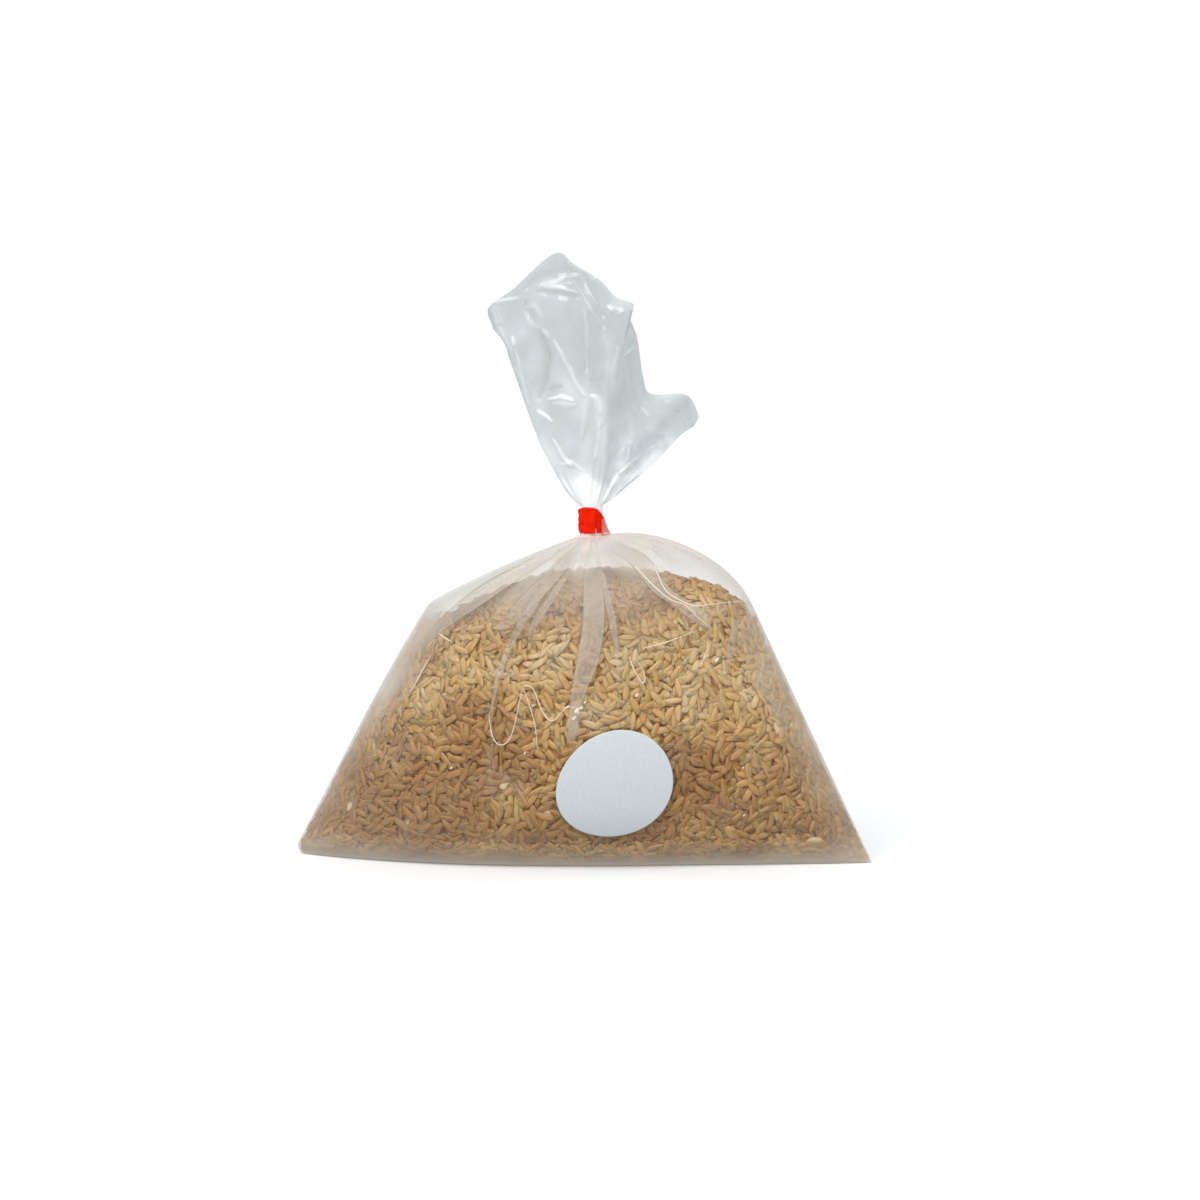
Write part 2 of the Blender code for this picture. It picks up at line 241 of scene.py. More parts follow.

# Small glints where the film is pinched, painted as bright milky specks, as (x, z, size)
GLINTS = (
    (0.0588, 0.0905, 0.0015), (0.0241, 0.0765, 0.0014), (0.0620, 0.0850, 0.0007),
    (0.0705, 0.0235, 0.0009), (-0.0560, 0.0440, 0.0010), (-0.0240, 0.0515, 0.0008),
    (-0.0055, 0.0715, 0.0011), (-0.0010, 0.0690, 0.0009), (-0.0205, 0.0720, 0.0008),
    (0.0420, 0.0880, 0.0007), (0.0018, 0.0735, 0.0010), (0.0003, 0.0712, 0.0012),
    (-0.0028, 0.0668, 0.0016), (-0.0016, 0.0700, 0.0020), (0.0545, 0.0925, 0.0009),
    (0.0700, 0.0440, 0.0008),
)

# Creases of the loose film's front: points (x, z), then half the width, the height and the whiteness.
# A negative height is a hollow. The whiteness is milky creased film with painted highlight, and a
# negative whiteness is painted shade.
TAIL_CREASES = {
    "top_glint": (((-0.0186, 0.2516), (-0.0098, 0.2507), (-0.0014, 0.2485)), 0.0013, 0.0008, 0.9),
    "top_wedge": (((-0.0186, 0.2519), (-0.0098, 0.2538), (-0.0067, 0.2552), (-0.0014, 0.2556)),
                  0.0016, 0.0006, 0.45),
    "top_patch": (((-0.0140, 0.2524), (-0.0030, 0.2525)), 0.0030, 0.0004, 0.30),
    "top_shade": (((-0.0250, 0.2500), (-0.0180, 0.2560), (-0.0060, 0.2580), (-0.0010, 0.2572)),
                  0.0026, -0.0006, -0.30),
    "under_shade": (((-0.0190, 0.2495), (-0.0100, 0.2480), (-0.0010, 0.2465)), 0.0026, -0.0006, -0.26),
    "centre_fold": (((-0.0006, 0.2498), (0.0042, 0.2414), (0.0091, 0.2330)), 0.0011, 0.0010, 0.55),
    "centre_shade": (((0.0010, 0.2570), (0.0060, 0.2470), (0.0095, 0.2380)), 0.0030, -0.0008, -0.28),
    "centre_line": (((0.0000, 0.2470), (0.0016, 0.2340), (0.0029, 0.2198), (0.0034, 0.2080)),
                    0.0009, 0.0004, 0.30),
    "short_line": (((0.0038, 0.2533), (0.0064, 0.2551)), 0.0010, 0.0004, 0.45),
    "left_loop": (((-0.0244, 0.2410), (-0.0222, 0.2366), (-0.0182, 0.2330), (-0.0147, 0.2308)),
                  0.0020, 0.0006, 0.60),
    "left_loop_top": (((-0.0240, 0.2424), (-0.0205, 0.2430), (-0.0170, 0.2385)), 0.0020, 0.0003, 0.35),
    "left_loop_end": (((-0.0165, 0.2316), (-0.0140, 0.2290)), 0.0020, 0.0004, 0.40),
    "long_fold": (((-0.0125, 0.2282), (-0.0068, 0.2184), (-0.0015, 0.2083), (0.0016, 0.2034)),
                  0.0017, 0.0008, 0.42),
    "hollow": (((-0.0252, 0.2459), (-0.0182, 0.2308), (-0.0147, 0.2211), (-0.0160, 0.2100),
                (-0.0185, 0.2020)), 0.0032, -0.0013, -0.36),
    "left_face": (((-0.0260, 0.2330), (-0.0200, 0.2190)), 0.0060, 0.0004, 0.10),
    "middle_glint": (((-0.0151, 0.2021), (-0.0090, 0.2034), (-0.0028, 0.2017)), 0.0014, 0.0010, 0.85),
    "middle_patch": (((-0.0130, 0.2005), (-0.0020, 0.2000)), 0.0026, 0.0005, 0.25),
    "middle_shade": (((-0.0150, 0.2062), (-0.0080, 0.2080)), 0.0024, -0.0005, -0.25),
    "lower_glint": (((-0.0195, 0.1972), (-0.0151, 0.1946), (-0.0125, 0.1919)), 0.0013, 0.0008, 0.65),
    "corner_spot": (((0.0118, 0.2422), (0.0138, 0.2408)), 0.0013, 0.0004, 0.7),
    "corner_spot_two": (((0.0172, 0.2402), (0.0186, 0.2412)), 0.0013, 0.0004, 0.5),
    "corner_spot_three": (((0.0158, 0.2392), (0.0172, 0.2400)), 0.0010, 0.0003, 0.6),
    "corner_patch": (((0.0110, 0.2420), (0.0180, 0.2400)), 0.0036, 0.0004, 0.08),
    "edge_shade": (((0.0215, 0.2350), (0.0218, 0.2270)), 0.0028, -0.0008, -0.40),
    "side_streak": (((0.0183, 0.2212), (0.0205, 0.2232), (0.0229, 0.2250)), 0.0012, 0.0007, 0.85),
    "side_patch": (((0.0100, 0.2330), (0.0120, 0.2220), (0.0115, 0.2080), (0.0080, 0.1900)),
                   0.0055, 0.0006, 0.22),
    "ear_spot": (((0.0262, 0.1986), (0.0302, 0.1946)), 0.0018, 0.0005, 0.35),
    "ear_shade": (((0.0350, 0.2010), (0.0440, 0.1960)), 0.0040, -0.0006, -0.15),
    "soft_left": (((0.0025, 0.2150), (0.0020, 0.2017), (0.0003, 0.1849)), 0.0030, 0.0006, 0.20),
    "soft_spots": (((0.0040, 0.2040), (0.0075, 0.2020), (0.0085, 0.1960)), 0.0024, 0.0005, 0.35),
    "edge_flecks": (((0.0170, 0.1699), (0.0223, 0.1747), (0.0262, 0.1779)), 0.0013, 0.0006, 0.65),
    "edge_flecks_two": (((0.0280, 0.1790), (0.0330, 0.1822)), 0.0011, 0.0004, 0.45),
    "low_left": (((-0.0125, 0.1849), (-0.0076, 0.1765), (-0.0037, 0.1725)), 0.0015, 0.0008, 0.40),
    "low_cross": (((-0.0094, 0.1738), (-0.0037, 0.1747), (0.0003, 0.1712)), 0.0014, 0.0006, 0.40),
    "low_middle": (((0.0060, 0.2010), (0.0078, 0.1880), (0.0060, 0.1760)), 0.0024, 0.0007, 0.25),
    "glow": (((-0.0010, 0.1560), (0.0015, 0.1640), (0.0025, 0.1690)), 0.0062, 0.0000, 2.2),
    "left_ear": (((-0.0380, 0.2430), (-0.0345, 0.2350)), 0.0060, 0.0005, 0.28),
    "ear_crease": (((-0.0390, 0.2440), (-0.0255, 0.2462)), 0.0011, 0.0006, 0.30),
    "left_speck": (((-0.0301, 0.2299), (-0.0292, 0.2255)), 0.0013, 0.0004, 0.70),
    "left_side": (((-0.0292, 0.2255), (-0.0262, 0.2100), (-0.0225, 0.1990)), 0.0016, 0.0005, 0.22),
    "ear_low_shade": (((0.0200, 0.1700), (0.0290, 0.1790), (0.0360, 0.1860)), 0.0110, 0.0000, -0.45),
    "middle_dim": (((0.0060, 0.2420), (0.0090, 0.2250), (0.0080, 0.2090)), 0.0170, 0.0000, -0.42),
}

# Creases and milky streaks of the body film's front, in the same form, with painted sheen over the amber
BODY_CREASES = {
    "band_tip": (((0.0000, 0.0735), (-0.0025, 0.0650), (-0.0035, 0.0570)), 0.0036, 0.0003, 0.42),
    "left_shoulder": (((0.0000, 0.1410), (-0.0330, 0.1290), (-0.0560, 0.1165), (-0.0670, 0.1070)),
                      0.0090, 0.0000, 0.26),
    "left_wedge": (((-0.0560, 0.1130), (-0.0760, 0.0900), (-0.0900, 0.0640)), 0.0110, 0.0000, 0.20),
    "left_drop": (((-0.0400, 0.0560), (-0.0390, 0.0420), (-0.0375, 0.0300)), 0.0014, 0.0004, 0.22),
    "right_fall": (((0.0640, 0.1080), (0.0740, 0.0900), (0.0860, 0.0640)), 0.0080, 0.0000, 0.14),
    "right_patch": (((0.0440, 0.1130), (0.0540, 0.1100), (0.0640, 0.1130)), 0.0070, 0.0000, 0.20),
    "amber_sheen": (((-0.0370, 0.0460), (-0.0240, 0.0330)), 0.0020, 0.0002, 0.12),
}

# Layers of grains under the film: how deep, the scatter of the depth, the tilt in degrees, the room that
# each grain takes and the share of the count
GRAIN_LAYERS = (
    (0.0, 0.0010, 7.0, 0.0030, 0.44),
    (0.0012, 0.0010, 12.0, 0.0031, 0.34),
    (0.0024, 0.0012, 20.0, 0.0034, 0.22),
)
# Grains laid along the film at its edges: which film, how many at the sides and how many at the bottom
EDGE_GRAINS = (("front", 1700, 1300), ("back", 900, 700))
# How grains at the right and the left side turn from level, in radians
RIGHT_GRAIN_TURN, LEFT_GRAIN_TURN = 2.01, 1.13

# Kinds of grain: where its rings lie along it and how thick it is there, as shares of half its length
# and width, then its bend and the share of all grains that are of its kind
GRAIN_KINDS = {
    "long_grains": ((-0.90, -0.46, 0.42, 0.88), (0.54, 1.0, 1.0, 0.50), 0.02, 0.235),
    "bent_grains": ((-0.90, -0.42, 0.44, 0.88), (0.50, 1.0, 0.97, 0.48), 0.09, 0.235),
    "slim_grains": ((-0.87, -0.40, 0.45, 0.88), (0.50, 0.95, 0.96, 0.44), 0.05, 0.225),
    "blunt_grains": ((-0.93, -0.54, 0.40, 0.86), (0.62, 1.0, 1.0, 0.54), -0.06, 0.215),
    "broken_grains": ((-0.97, -0.60, 0.30, 0.84), (0.84, 1.0, 0.98, 0.60), 0.03, 0.09),
}
# Where the corners of a grain's flat section lie round it, in degrees, how long broken grains are at
# least and at most and how wide slim grains are, as shares of a whole grain
GRAIN_CORNERS = (0, 48, 132, 180, 228, 312)
BROKEN_LENGTHS = (0.45, 0.75)
SLIM_WIDTH = 0.88

# Crinkled spots of the front film: x, z, reach and height of the crinkles
CRINKLES = (
    (-0.0035, 0.0680, 0.0150, 0.0011),
    (-0.0180, 0.0620, 0.0170, 0.0007),
    (0.0240, 0.0880, 0.0120, 0.0008),
    (0.0500, 0.0920, 0.0150, 0.0006),
    (0.0560, 0.0640, 0.0160, 0.0005),
    (-0.0500, 0.0900, 0.0180, 0.0005),
    (0.0730, 0.0300, 0.0180, 0.0006),
)


def length_setting(name, description, default):
    """A length among the settings."""
    return bpy.props.FloatProperty(
        name=name, description=description, default=default, unit="LENGTH", precision=5
    )


def colour_setting(name, description, default):
    """A colour among the settings."""
    return bpy.props.FloatVectorProperty(
        name=name, description=description, default=default, subtype="COLOR", size=3
    )


class BagSizes(bpy.types.PropertyGroup):
    """How finely the film is made, how it wrinkles and how thick tape and label are."""

    columns: bpy.props.IntProperty(
        name="Columns", description="Divisions of the film round the bag", default=560, min=96
    )
    undulation: length_setting("Undulation", "Height of the film's slow waves", 0.0006)
    dimple: length_setting("Dimple", "Depth of the dimples where film lies on grains", 0.00012)
    gather: length_setting("Gather", "Height of the pleats below the neck", 0.0009)
    crumple: length_setting("Crumple", "Height of the creases in the loose film", 0.0020)
    pleat_lift: length_setting("Pleat lift", "Height of the flattened pleats", 0.00012)
    crease_lift: length_setting("Crease lift", "Height of the sharp creases", 0.00018)
    glint_lift: length_setting("Glint lift", "Height of the pinched glints", 0.00025)
    tape_thickness: length_setting("Tape thickness", "Thickness of the wound tape", 0.00016)
    corner_thickness: length_setting("Corner thickness", "Thickness of the tape's corner", 0.0001)
    label_thickness: length_setting("Label thickness", "Thickness of the label's paper", 0.0002)


class RiceSizes(bpy.types.PropertyGroup):
    """The rice grains."""

    length: length_setting("Length", "Length of a whole grain", 0.0086)
    width: length_setting("Width", "Width of a whole grain", 0.0031)
    clearance: length_setting("Clearance", "Least room between a grain and the film", 0.00015)
    count: bpy.props.IntProperty(
        name="Count", description="Most grains in the layers under the film", default=13500, min=100
    )


class BagLooks(bpy.types.PropertyGroup):
    """Colours of the film, rice, tape and label."""

    film_tint: colour_setting(
        "Film tint", "What one layer of loose film lets through", (0.905, 0.918, 0.922)
    )
    body_tint: colour_setting(
        "Body tint", "What one layer of film round the rice lets through", (0.93, 0.925, 0.915)
    )
    film_veil: colour_setting("Film veil", "The film's faint grey veil", (0.60, 0.645, 0.66))
    warm_haze: colour_setting(
        "Warm haze", "Milky haze of the film round the rice", (0.735, 0.658, 0.572)
    )
    thick_haze: colour_setting(
        "Thick haze", "Haze of the film where it gathers", (0.580, 0.560, 0.520)
    )
    # Painted reflection: the tape's red cast on the film beside it
    neck_red_reflection: colour_setting("Neck blush", "Haze of the film beside the tape", (0.80, 0.62, 0.58))
    cool_haze: colour_setting("Cool haze", "Haze of the creased loose film", (0.96, 0.98, 0.99))
    pleat_haze: colour_setting("Pleat haze", "Haze of the flattened pleats", (0.70, 0.620, 0.53))
    # Cream of the creases and glints, which paints their highlights
    crease_highlight_cream: colour_setting("Crease cream", "Sharp creases and glints", (1.0, 0.91, 0.76))
    grain_amber: colour_setting("Amber grain", "The darkest grains", (0.42, 0.205, 0.050))
    grain_gold: colour_setting("Golden grain", "Most grains", (0.72, 0.445, 0.168))
    grain_pale: colour_setting("Pale grain", "The palest grains", (0.90, 0.635, 0.36))
    grain_chalk: colour_setting("Chalky grain", "Chalky parts of grains", (0.92, 0.73, 0.47))
    depth_brown: colour_setting("Depth brown", "Rice deep between the grains", (0.86, 0.47, 0.12))
    tape_red: colour_setting("Tape red", "The neck tape", (0.96, 0.018, 0.0015))
    corner_red: colour_setting("Corner red", "Redder parts of the tape's corner", (0.95, 0.30, 0.26))
    corner_pink: colour_setting("Corner pink", "Paler parts of the tape's corner", (0.95, 0.48, 0.44))
    corner_tint: colour_setting(
        "Corner tint", "What the tape's corner lets through", (0.98, 0.80, 0.78)
    )
    label_white: colour_setting("Label white", "The blank label", (0.685, 0.73, 0.75))


class StudioSettings(bpy.types.PropertyGroup):
    """The floor, the light and the camera."""

    elevation: bpy.props.FloatProperty(
        name="Elevation", description="Height of the camera above level",
        default=math.radians(5), subtype="ANGLE",
    )
    distance: length_setting("Distance", "Camera's distance from the bag", 1.2)
    frame_width: length_setting("Frame width", "Width of the picture at the bag", 0.528)


def mix(a, b, share):
    """The value share of the way from a to b."""
    return a + (b - a) * share


def ease(share):
    """A smooth step from 0 to 1: 3 s squared minus 2 s cubed."""
    share = np.clip(share, 0.0, 1.0)
    return share * share * (3 - 2 * share)


def rising(value, start, end):
    """A smooth step from 0 where the value is at start to 1 where it is at end."""
    return ease((value - start) / (end - start))


def by_side(angle, left, right, front):
    """Blends the front's value into the side's by the squared cosine of the angle round the bag."""
    across = np.cos(angle)
    return mix(front, np.where(across > 0, right, left), across**2)


def left_edge(z):
    """The left side: a straight line with a slight bow, over a nose that tucks in by the drop squared."""
    share = (z - LEFT_CORNER_Z) / (SHOULDER_Z - LEFT_CORNER_Z)
    side = mix(LEFT_CORNER_X, LEFT_SHOULDER_X, share) - SIDE_BOW * 4 * share * (1 - share) * share
    nose = LEFT_CORNER_X + CORNER_TUCK * (1 - z / LEFT_CORNER_Z) ** 2
    return np.where(z < LEFT_CORNER_Z, nose, side)


def right_edge(z):
    """The right side: a straight line down to the corner's tip."""
    return mix(RIGHT_CORNER_X, RIGHT_SHOULDER_X, (z - RIGHT_CORNER_Z) / (SHOULDER_Z - RIGHT_CORNER_Z))


def half_depth(z):
    """Half the body's depth: a cubic tuck below the bulge and a square falling off above it."""
    low = mix(BULGE_HALF_DEPTH, BASE_HALF_DEPTH, np.clip(1 - z / BULGE_Z, 0, 1) ** 3)
    above = np.clip((z - BULGE_Z) / (SHOULDER_Z - BULGE_Z), 0, None)
    return np.where(z < BULGE_Z, low, mix(BULGE_HALF_DEPTH, SHOULDER_HALF_DEPTH, above**2))


def pinch(z):
    """The power that narrows the section to its side edges."""
    return mix(BASE_PINCH, SIDE_PINCH, ease(z / SHOULDER_Z * 1.6))


def seam_y(x):
    """The middle of the body front to back: the corners turn by the square of the way to them."""
    turn = (np.abs(x) - CORNER_TURN_START) / (RIGHT_CORNER_X - CORNER_TURN_START)
    return np.where(x < 0, LEFT_CORNER_BACK, -RIGHT_CORNER_FORWARD) * np.clip(turn, 0, None) ** 2


def wall(angle, z):
    """The body's wall: x goes with the cosine of the angle, and y with its sine to the pinch power."""
    left, right = left_edge(z), right_edge(z)
    x = (left + right) / 2 + (right - left) / 2 * np.cos(angle)
    up = np.sin(angle)
    y = np.sign(up) * half_depth(z) * np.abs(up) ** pinch(z)
    return np.stack(np.broadcast_arrays(x, seam_y(x) + y, z), axis=-1)


def shoulder_z(angle):
    """The shoulder's height, lower at the front and back than at the sides."""
    return by_side(angle, SHOULDER_Z, SHOULDER_Z, FRONT_SHOULDER_Z)


def gathered(angle, share):
    """The gathered top: a cubic Bezier curve from the shoulder to the neck in each upright plane."""
    foot = wall(angle, shoulder_z(angle))
    up = foot - wall(angle, shoulder_z(angle) - 0.01)
    up /= np.linalg.norm(up, axis=-1, keepdims=True)
    first = foot + up * by_side(angle, LEFT_RISE, RIGHT_RISE, FRONT_RISE)[..., None]
    flat = np.zeros_like(angle)
    out = np.stack((np.cos(angle), np.sin(angle), flat), axis=-1)
    neck = np.array((NECK_X, 0, NECK_BOTTOM_Z)) + NECK_RADIUS * out
    reach = by_side(angle, LEFT_REACH, RIGHT_REACH, FRONT_REACH)
    slope = by_side(angle, LEFT_SLOPE, RIGHT_SLOPE, FRONT_SLOPE)
    lean = out + np.stack((flat, flat, slope), axis=-1)
    second = neck + lean * reach[..., None]
    share = share[..., None]
    rest = 1 - share
    return (
        rest**3 * foot + 3 * rest**2 * share * first + 3 * rest * share**2 * second + share**3 * neck
    )


def waves(angle, z, length, count, seed, girth=0.080):
    """Even random waves: a sum of cosines in whole turns round the bag and in height, about 1 high."""
    rng = np.random.default_rng(seed)
    total = np.zeros(np.broadcast_shapes(np.shape(angle), np.shape(z)))
    for way, phase, scale in zip(
        rng.uniform(0, 2 * math.pi, count),
        rng.uniform(0, 2 * math.pi, count),
        rng.uniform(0.75, 1.35, count),
    ):
        number = 2 * math.pi / (length * scale)
        total += np.cos(round(number * girth * math.cos(way)) * angle + number * math.sin(way) * z + phase)
    return total / math.sqrt(count / 2)


def ridges(phase, sharpness):
    """Narrow ridges between wide valleys: half a cosine plus a half, to a power, less its mean."""
    return (0.5 + 0.5 * np.cos(phase)) ** sharpness - 0.5 / sharpness


def normals_of(points):
    """Outward unit normals of a grid that wraps round: the cross product of its two differences."""
    round_way = np.roll(points, -1, axis=1) - np.roll(points, 1, axis=1)
    up_way = np.gradient(points, axis=0)
    across = np.cross(round_way, up_way)
    return across / np.maximum(np.linalg.norm(across, axis=-1, keepdims=True), 1e-12)


def soften(points, middle, reach, times):
    """Rounds a grid near one row: each point moves to a quarter, half, quarter mean along its column."""
    rows = np.arange(len(points))
    weight = np.clip(1 - np.abs(rows - middle) / reach, 0, 1)[1:-1, None, None]
    for _ in range(times):
        mean = (points[:-2] + 2 * points[1:-1] + points[2:]) / 4
        points[1:-1] += (mean - points[1:-1]) * weight
    return points


def film_grid(angle):
    """The film's plain grid, before waves and pleats.

    Rows run from the seam along the flat base, up the wall, over the gathered top and into the neck.
    Returns the points, and the way of each row over the gathered top as a share.
    """
    edge = wall(angle, np.full((1, 1), FOOT_Z))
    out = np.linspace(0, 1, BASE_ROWS, endpoint=False)[:, None] ** 0.7
    seam = seam_y(edge[..., 0])
    base_y = seam + (edge[..., 1] - seam) * out
    base = np.stack(np.broadcast_arrays(edge[..., 0], base_y, FOOT_Z), axis=-1)
    rise = np.linspace(0, 1, WALL_ROWS)[:, None] ** 1.15
    walls = wall(angle, FOOT_Z + (shoulder_z(angle) - FOOT_Z) * rise)
    share = np.linspace(0, 1, GATHER_ROWS + 1)[1:, None] + 0 * angle
    top = gathered(angle + 0 * share, share)
    height = np.linspace(NECK_BOTTOM_Z, NECK_MIDDLE_Z, NECK_ROWS + 1)[1:, None] + 0 * angle
    neck_x = NECK_X + NECK_RADIUS * np.cos(angle) + 0 * height
    neck = np.stack((neck_x, NECK_RADIUS * np.sin(angle) + 0 * height, height), axis=-1)
    points = np.concatenate((base, walls, top, neck))
    points = soften(points, BASE_ROWS, 6, 5)
    points = soften(points, BASE_ROWS + WALL_ROWS, 14, 12)
    way = np.concatenate((np.zeros(BASE_ROWS + WALL_ROWS), share[:, 0], np.ones(NECK_ROWS)))
    return points, way[:, None]


def film_relief(sizes, points, angle, way):
    """How far the film stands off its plain grid, and how white its creases make it.

    It adds up slow waves and grain dimples where film lies on rice, creases, crinkled spots, and three
    sets of radial pleats, each finer and nearer the neck than the last.
    """
    x, z = points[..., 0], points[..., 2]
    facing, front = np.abs(np.sin(angle)), np.sin(angle) < 0
    lying = ease(z / 0.012) * (1 - ease(way * 2.5)) * facing**1.3
    from_label = np.hypot((x - LABEL_X) / 0.030, (z - LABEL_Z) / 0.028)
    lying = lying * np.where(front, ease(from_label * 2 - 1.6), 1)
    lift, white = press_creases(BODY_CREASES, x, z, front)
    shape = sizes.undulation * (waves(angle, z, 0.034, 18, 3) + 0.8) * lying + lift
    dimples = waves(angle, z, 0.0058, 60, 4)
    shape += sizes.dimple * dimples * ease(z / 0.003) * (1 - ease(way * 3)) * facing
    for spot_x, spot_z, reach, size in CRINKLES:
        near = ease(1 - np.hypot(x - spot_x, z - spot_z) / reach) * front
        crinkle = creased(x / 0.012, z / 0.012, 40 + round(1e4 * reach), 12)
        shape = shape + size * near * crinkle
    broad = 15 * angle + 1.3 * np.sin(3 * angle + 0.4) + 0.8 * np.sin(5 * angle + 2.0)
    side = by_side(angle, 0.75, 0.35, 1.0)
    shape += sizes.gather * side * ridges(broad, 2.0) * ease(way * 1.5) * ease((1 - way) * 2.2)
    fine = 31 * angle + 2.0 * np.sin(4 * angle + 1.1) + 1.1 * np.sin(9 * angle + 0.3)
    shape += 0.35 * sizes.gather * ridges(fine, 2.5) * ease(way * 2.2 - 0.9) * ease((1 - way) * 6)
    finest = 57 * angle + 2.5 * np.sin(7 * angle + 0.7)
    shape += 0.15 * sizes.gather * ridges(finest, 2.0) * ease(way * 3 - 1.9)
    return shape, white


def film_haze(points, angle, way, white):
    """How milky the film is, from 0 to 1.

    It adds up streaks over the gathered top, the creases' own white, bands along both sides by powers of
    the cosine of the angle, and veils over the top and the lower left. Near the neck it is at least a
    step and a bell of the distance to it, and at the bottom an exponential of the height closes it.
    """
    x, z = points[..., 0], points[..., 2]
    left, right = np.clip(-np.cos(angle), 0, 1), np.clip(np.cos(angle), 0, 1)
    streaks = np.clip(0.55 + 0.45 * waves(angle, 0 * z, 0.028, 24, 7) * ease(way * 2), 0.2, 1.2)
    patchy = 1 + 0.16 * waves(x / 0.08, z, 0.016, 24, 10)
    haze = by_side(angle, 0.54, 0.24, 0.15) * ease(way * 2.2) * streaks + white
    haze += mix(0.26 * left**14, 0.64 * left**9, rising(z, 0.030, 0.090)) * patchy
    haze += mix(0.26, 0.50, rising(z, 0.005, 0.050)) * right**13 * patchy**0.4
    haze += 0.17 * rising(z, 0.094, 0.116) * rising(x, 0.050, 0.025)
    haze += 0.015 + 0.03 * rising(x, -0.02, -0.07) * rising(z, 0.07, 0.02)
    away = np.linalg.norm(points - np.array((NECK_X, 0, NECK_BOTTOM_Z)), axis=-1)
    uneven = away * (1 + 0.10 * waves(angle, 0 * z, 0.036, 16, 8))
    haze = np.maximum(np.clip(haze, 0, 0.84), 0.90 * rising(uneven, 0.042, 0.013))
    # The bell brings the film beside the tape to full haze, which takes the tape's painted red reflection
    haze = np.maximum(haze, 1.08 * np.exp(-(((away - NECK_RADIUS) / 0.0045) ** 2)))
    corners = 1 - 0.6 * np.abs(np.cos(angle)) ** 16
    haze += 0.74 * np.exp(-z / 0.0060) * (1 - haze) * corners
    haze += 0.02 * np.clip(waves(angle, z, 0.03, 16, 9), 0, None)
    return np.clip(haze, 0, 1)


def film_body(sizes):
    """The film from its bottom seam to inside the tape, moved along its normals, with its haze."""
    angle = np.linspace(0, 2 * math.pi, sizes.columns, endpoint=False)[None, :]
    points, way = film_grid(angle)
    shape, white = film_relief(sizes, points, angle, way)
    points = points + normals_of(points) * shape[..., None]
    points[..., 2] = np.maximum(points[..., 2], LEAST_Z)
    return points, film_haze(points, angle, way, white)


def film_map():
    """The depth map of the body film, as its sizes make it."""
    return depth_map(film_body(bpy.context.scene.rice_bag_sizes)[0])


def smooth_through(points, place):
    """A Catmull-Rom curve through rows of numbers, at places counted in rows."""
    last = len(points) - 1
    start = np.clip(np.floor(place).astype(int), 0, last - 1)
    a, b = points[np.maximum(start - 1, 0)], points[start]
    c, d = points[start + 1], points[np.minimum(start + 2, last)]
    t = (place - start)[..., None]
    return b + ((c - a) * t + (2 * a - 5 * b + 4 * c - d) * t**2 + (3 * b - a - 3 * c + d) * t**3) / 2


def creased(across, height, seed, count=9):
    """Crumpled film: a sum of absolute sines in random directions, whose zeros are sharp creases."""
    rng = np.random.default_rng(seed)
    total = 0 * across * height
    for way, phase, number in zip(
        rng.uniform(-0.9, 0.9, count), rng.uniform(0, math.pi, count), rng.uniform(2.0, 5.5, count)
    ):
        along = math.cos(way) * across * 2.2 + math.sin(way) * height * 2.6
        total += np.abs(np.sin(number * along + phase))
    return total / count - 0.64


def near_line(x, z, path, reach):
    """One on a line through (x, z) points, falling evenly to nothing at a reach that tapers to its ends."""
    nearest = np.full(np.broadcast_shapes(x.shape, z.shape), 1.0)
    share = np.zeros(nearest.shape)
    for number, ((ax, az), (bx, bz)) in enumerate(zip(path[:-1], path[1:])):
        along = ((x - ax) * (bx - ax) + (z - az) * (bz - az)) / ((bx - ax) ** 2 + (bz - az) ** 2)
        along = np.clip(along, 0, 1)
        away = np.hypot(x - mix(ax, bx, along), z - mix(az, bz, along))
        share = np.where(away < nearest, (number + along) / (len(path) - 1), share)
        nearest = np.minimum(nearest, away)
    taper = np.sqrt(np.clip(4 * share * (1 - share), 0.02, 1))
    return np.clip(1 - nearest / (reach * taper), 0, 1)


def press_creases(creases, x, z, front):
    """How far creases lift the front film and how white they make it, summed over a table of them."""
    lift, white = 0.0 * x, 0.0 * x
    for path, reach, height, whiteness in creases.values():
        nearness = np.where(front, near_line(x, z, path, reach), 0)
        lift = lift + height * nearness
        # The white is milky film with painted highlight, and a negative white is painted shade
        white = white + whiteness * nearness**1.5
    return lift, white


def tail_outline(angle, across, rise, height):
    """The loose film's x and z: each point mixes the neck's circle and the rim by its height.

    The rim's own small shapes come in only near it and at its ends. Elsewhere its mean over nine shifts
    stands for it. The left side bows outwards by a parabola, and both sides keep to their outline.
    """
    last = len(TAIL_RIM) - 1
    exact = smooth_through(TAIL_RIM, across * last)
    shifts = np.linspace(-0.13, 0.13, 9)
    soft = sum(smooth_through(TAIL_RIM, np.clip(across + shift, 0, 1) * last) for shift in shifts) / 9
    keep = ease(np.minimum(across, 1 - across) / 0.16)[..., None]
    rim = mix(exact, mix(exact, soft, keep), ease((1 - height) / 0.5)[..., None])
    early = height**0.8
    bow = -0.0062 * (1 - ease(across * 2.2)) * 4 * early * (1 - early)
    x = mix(NECK_RADIUS * np.cos(angle), rim[..., 0], height**0.93) + bow
    z = rim[..., 1] * height - 0.0060 * np.clip(-rise / 0.03, 0, 1)
    x = np.clip(x, np.interp(z, *TAIL_LEFT.T), np.interp(z, *TAIL_RIGHT.T))
    return x + NECK_X, z + NECK_TOP_Z


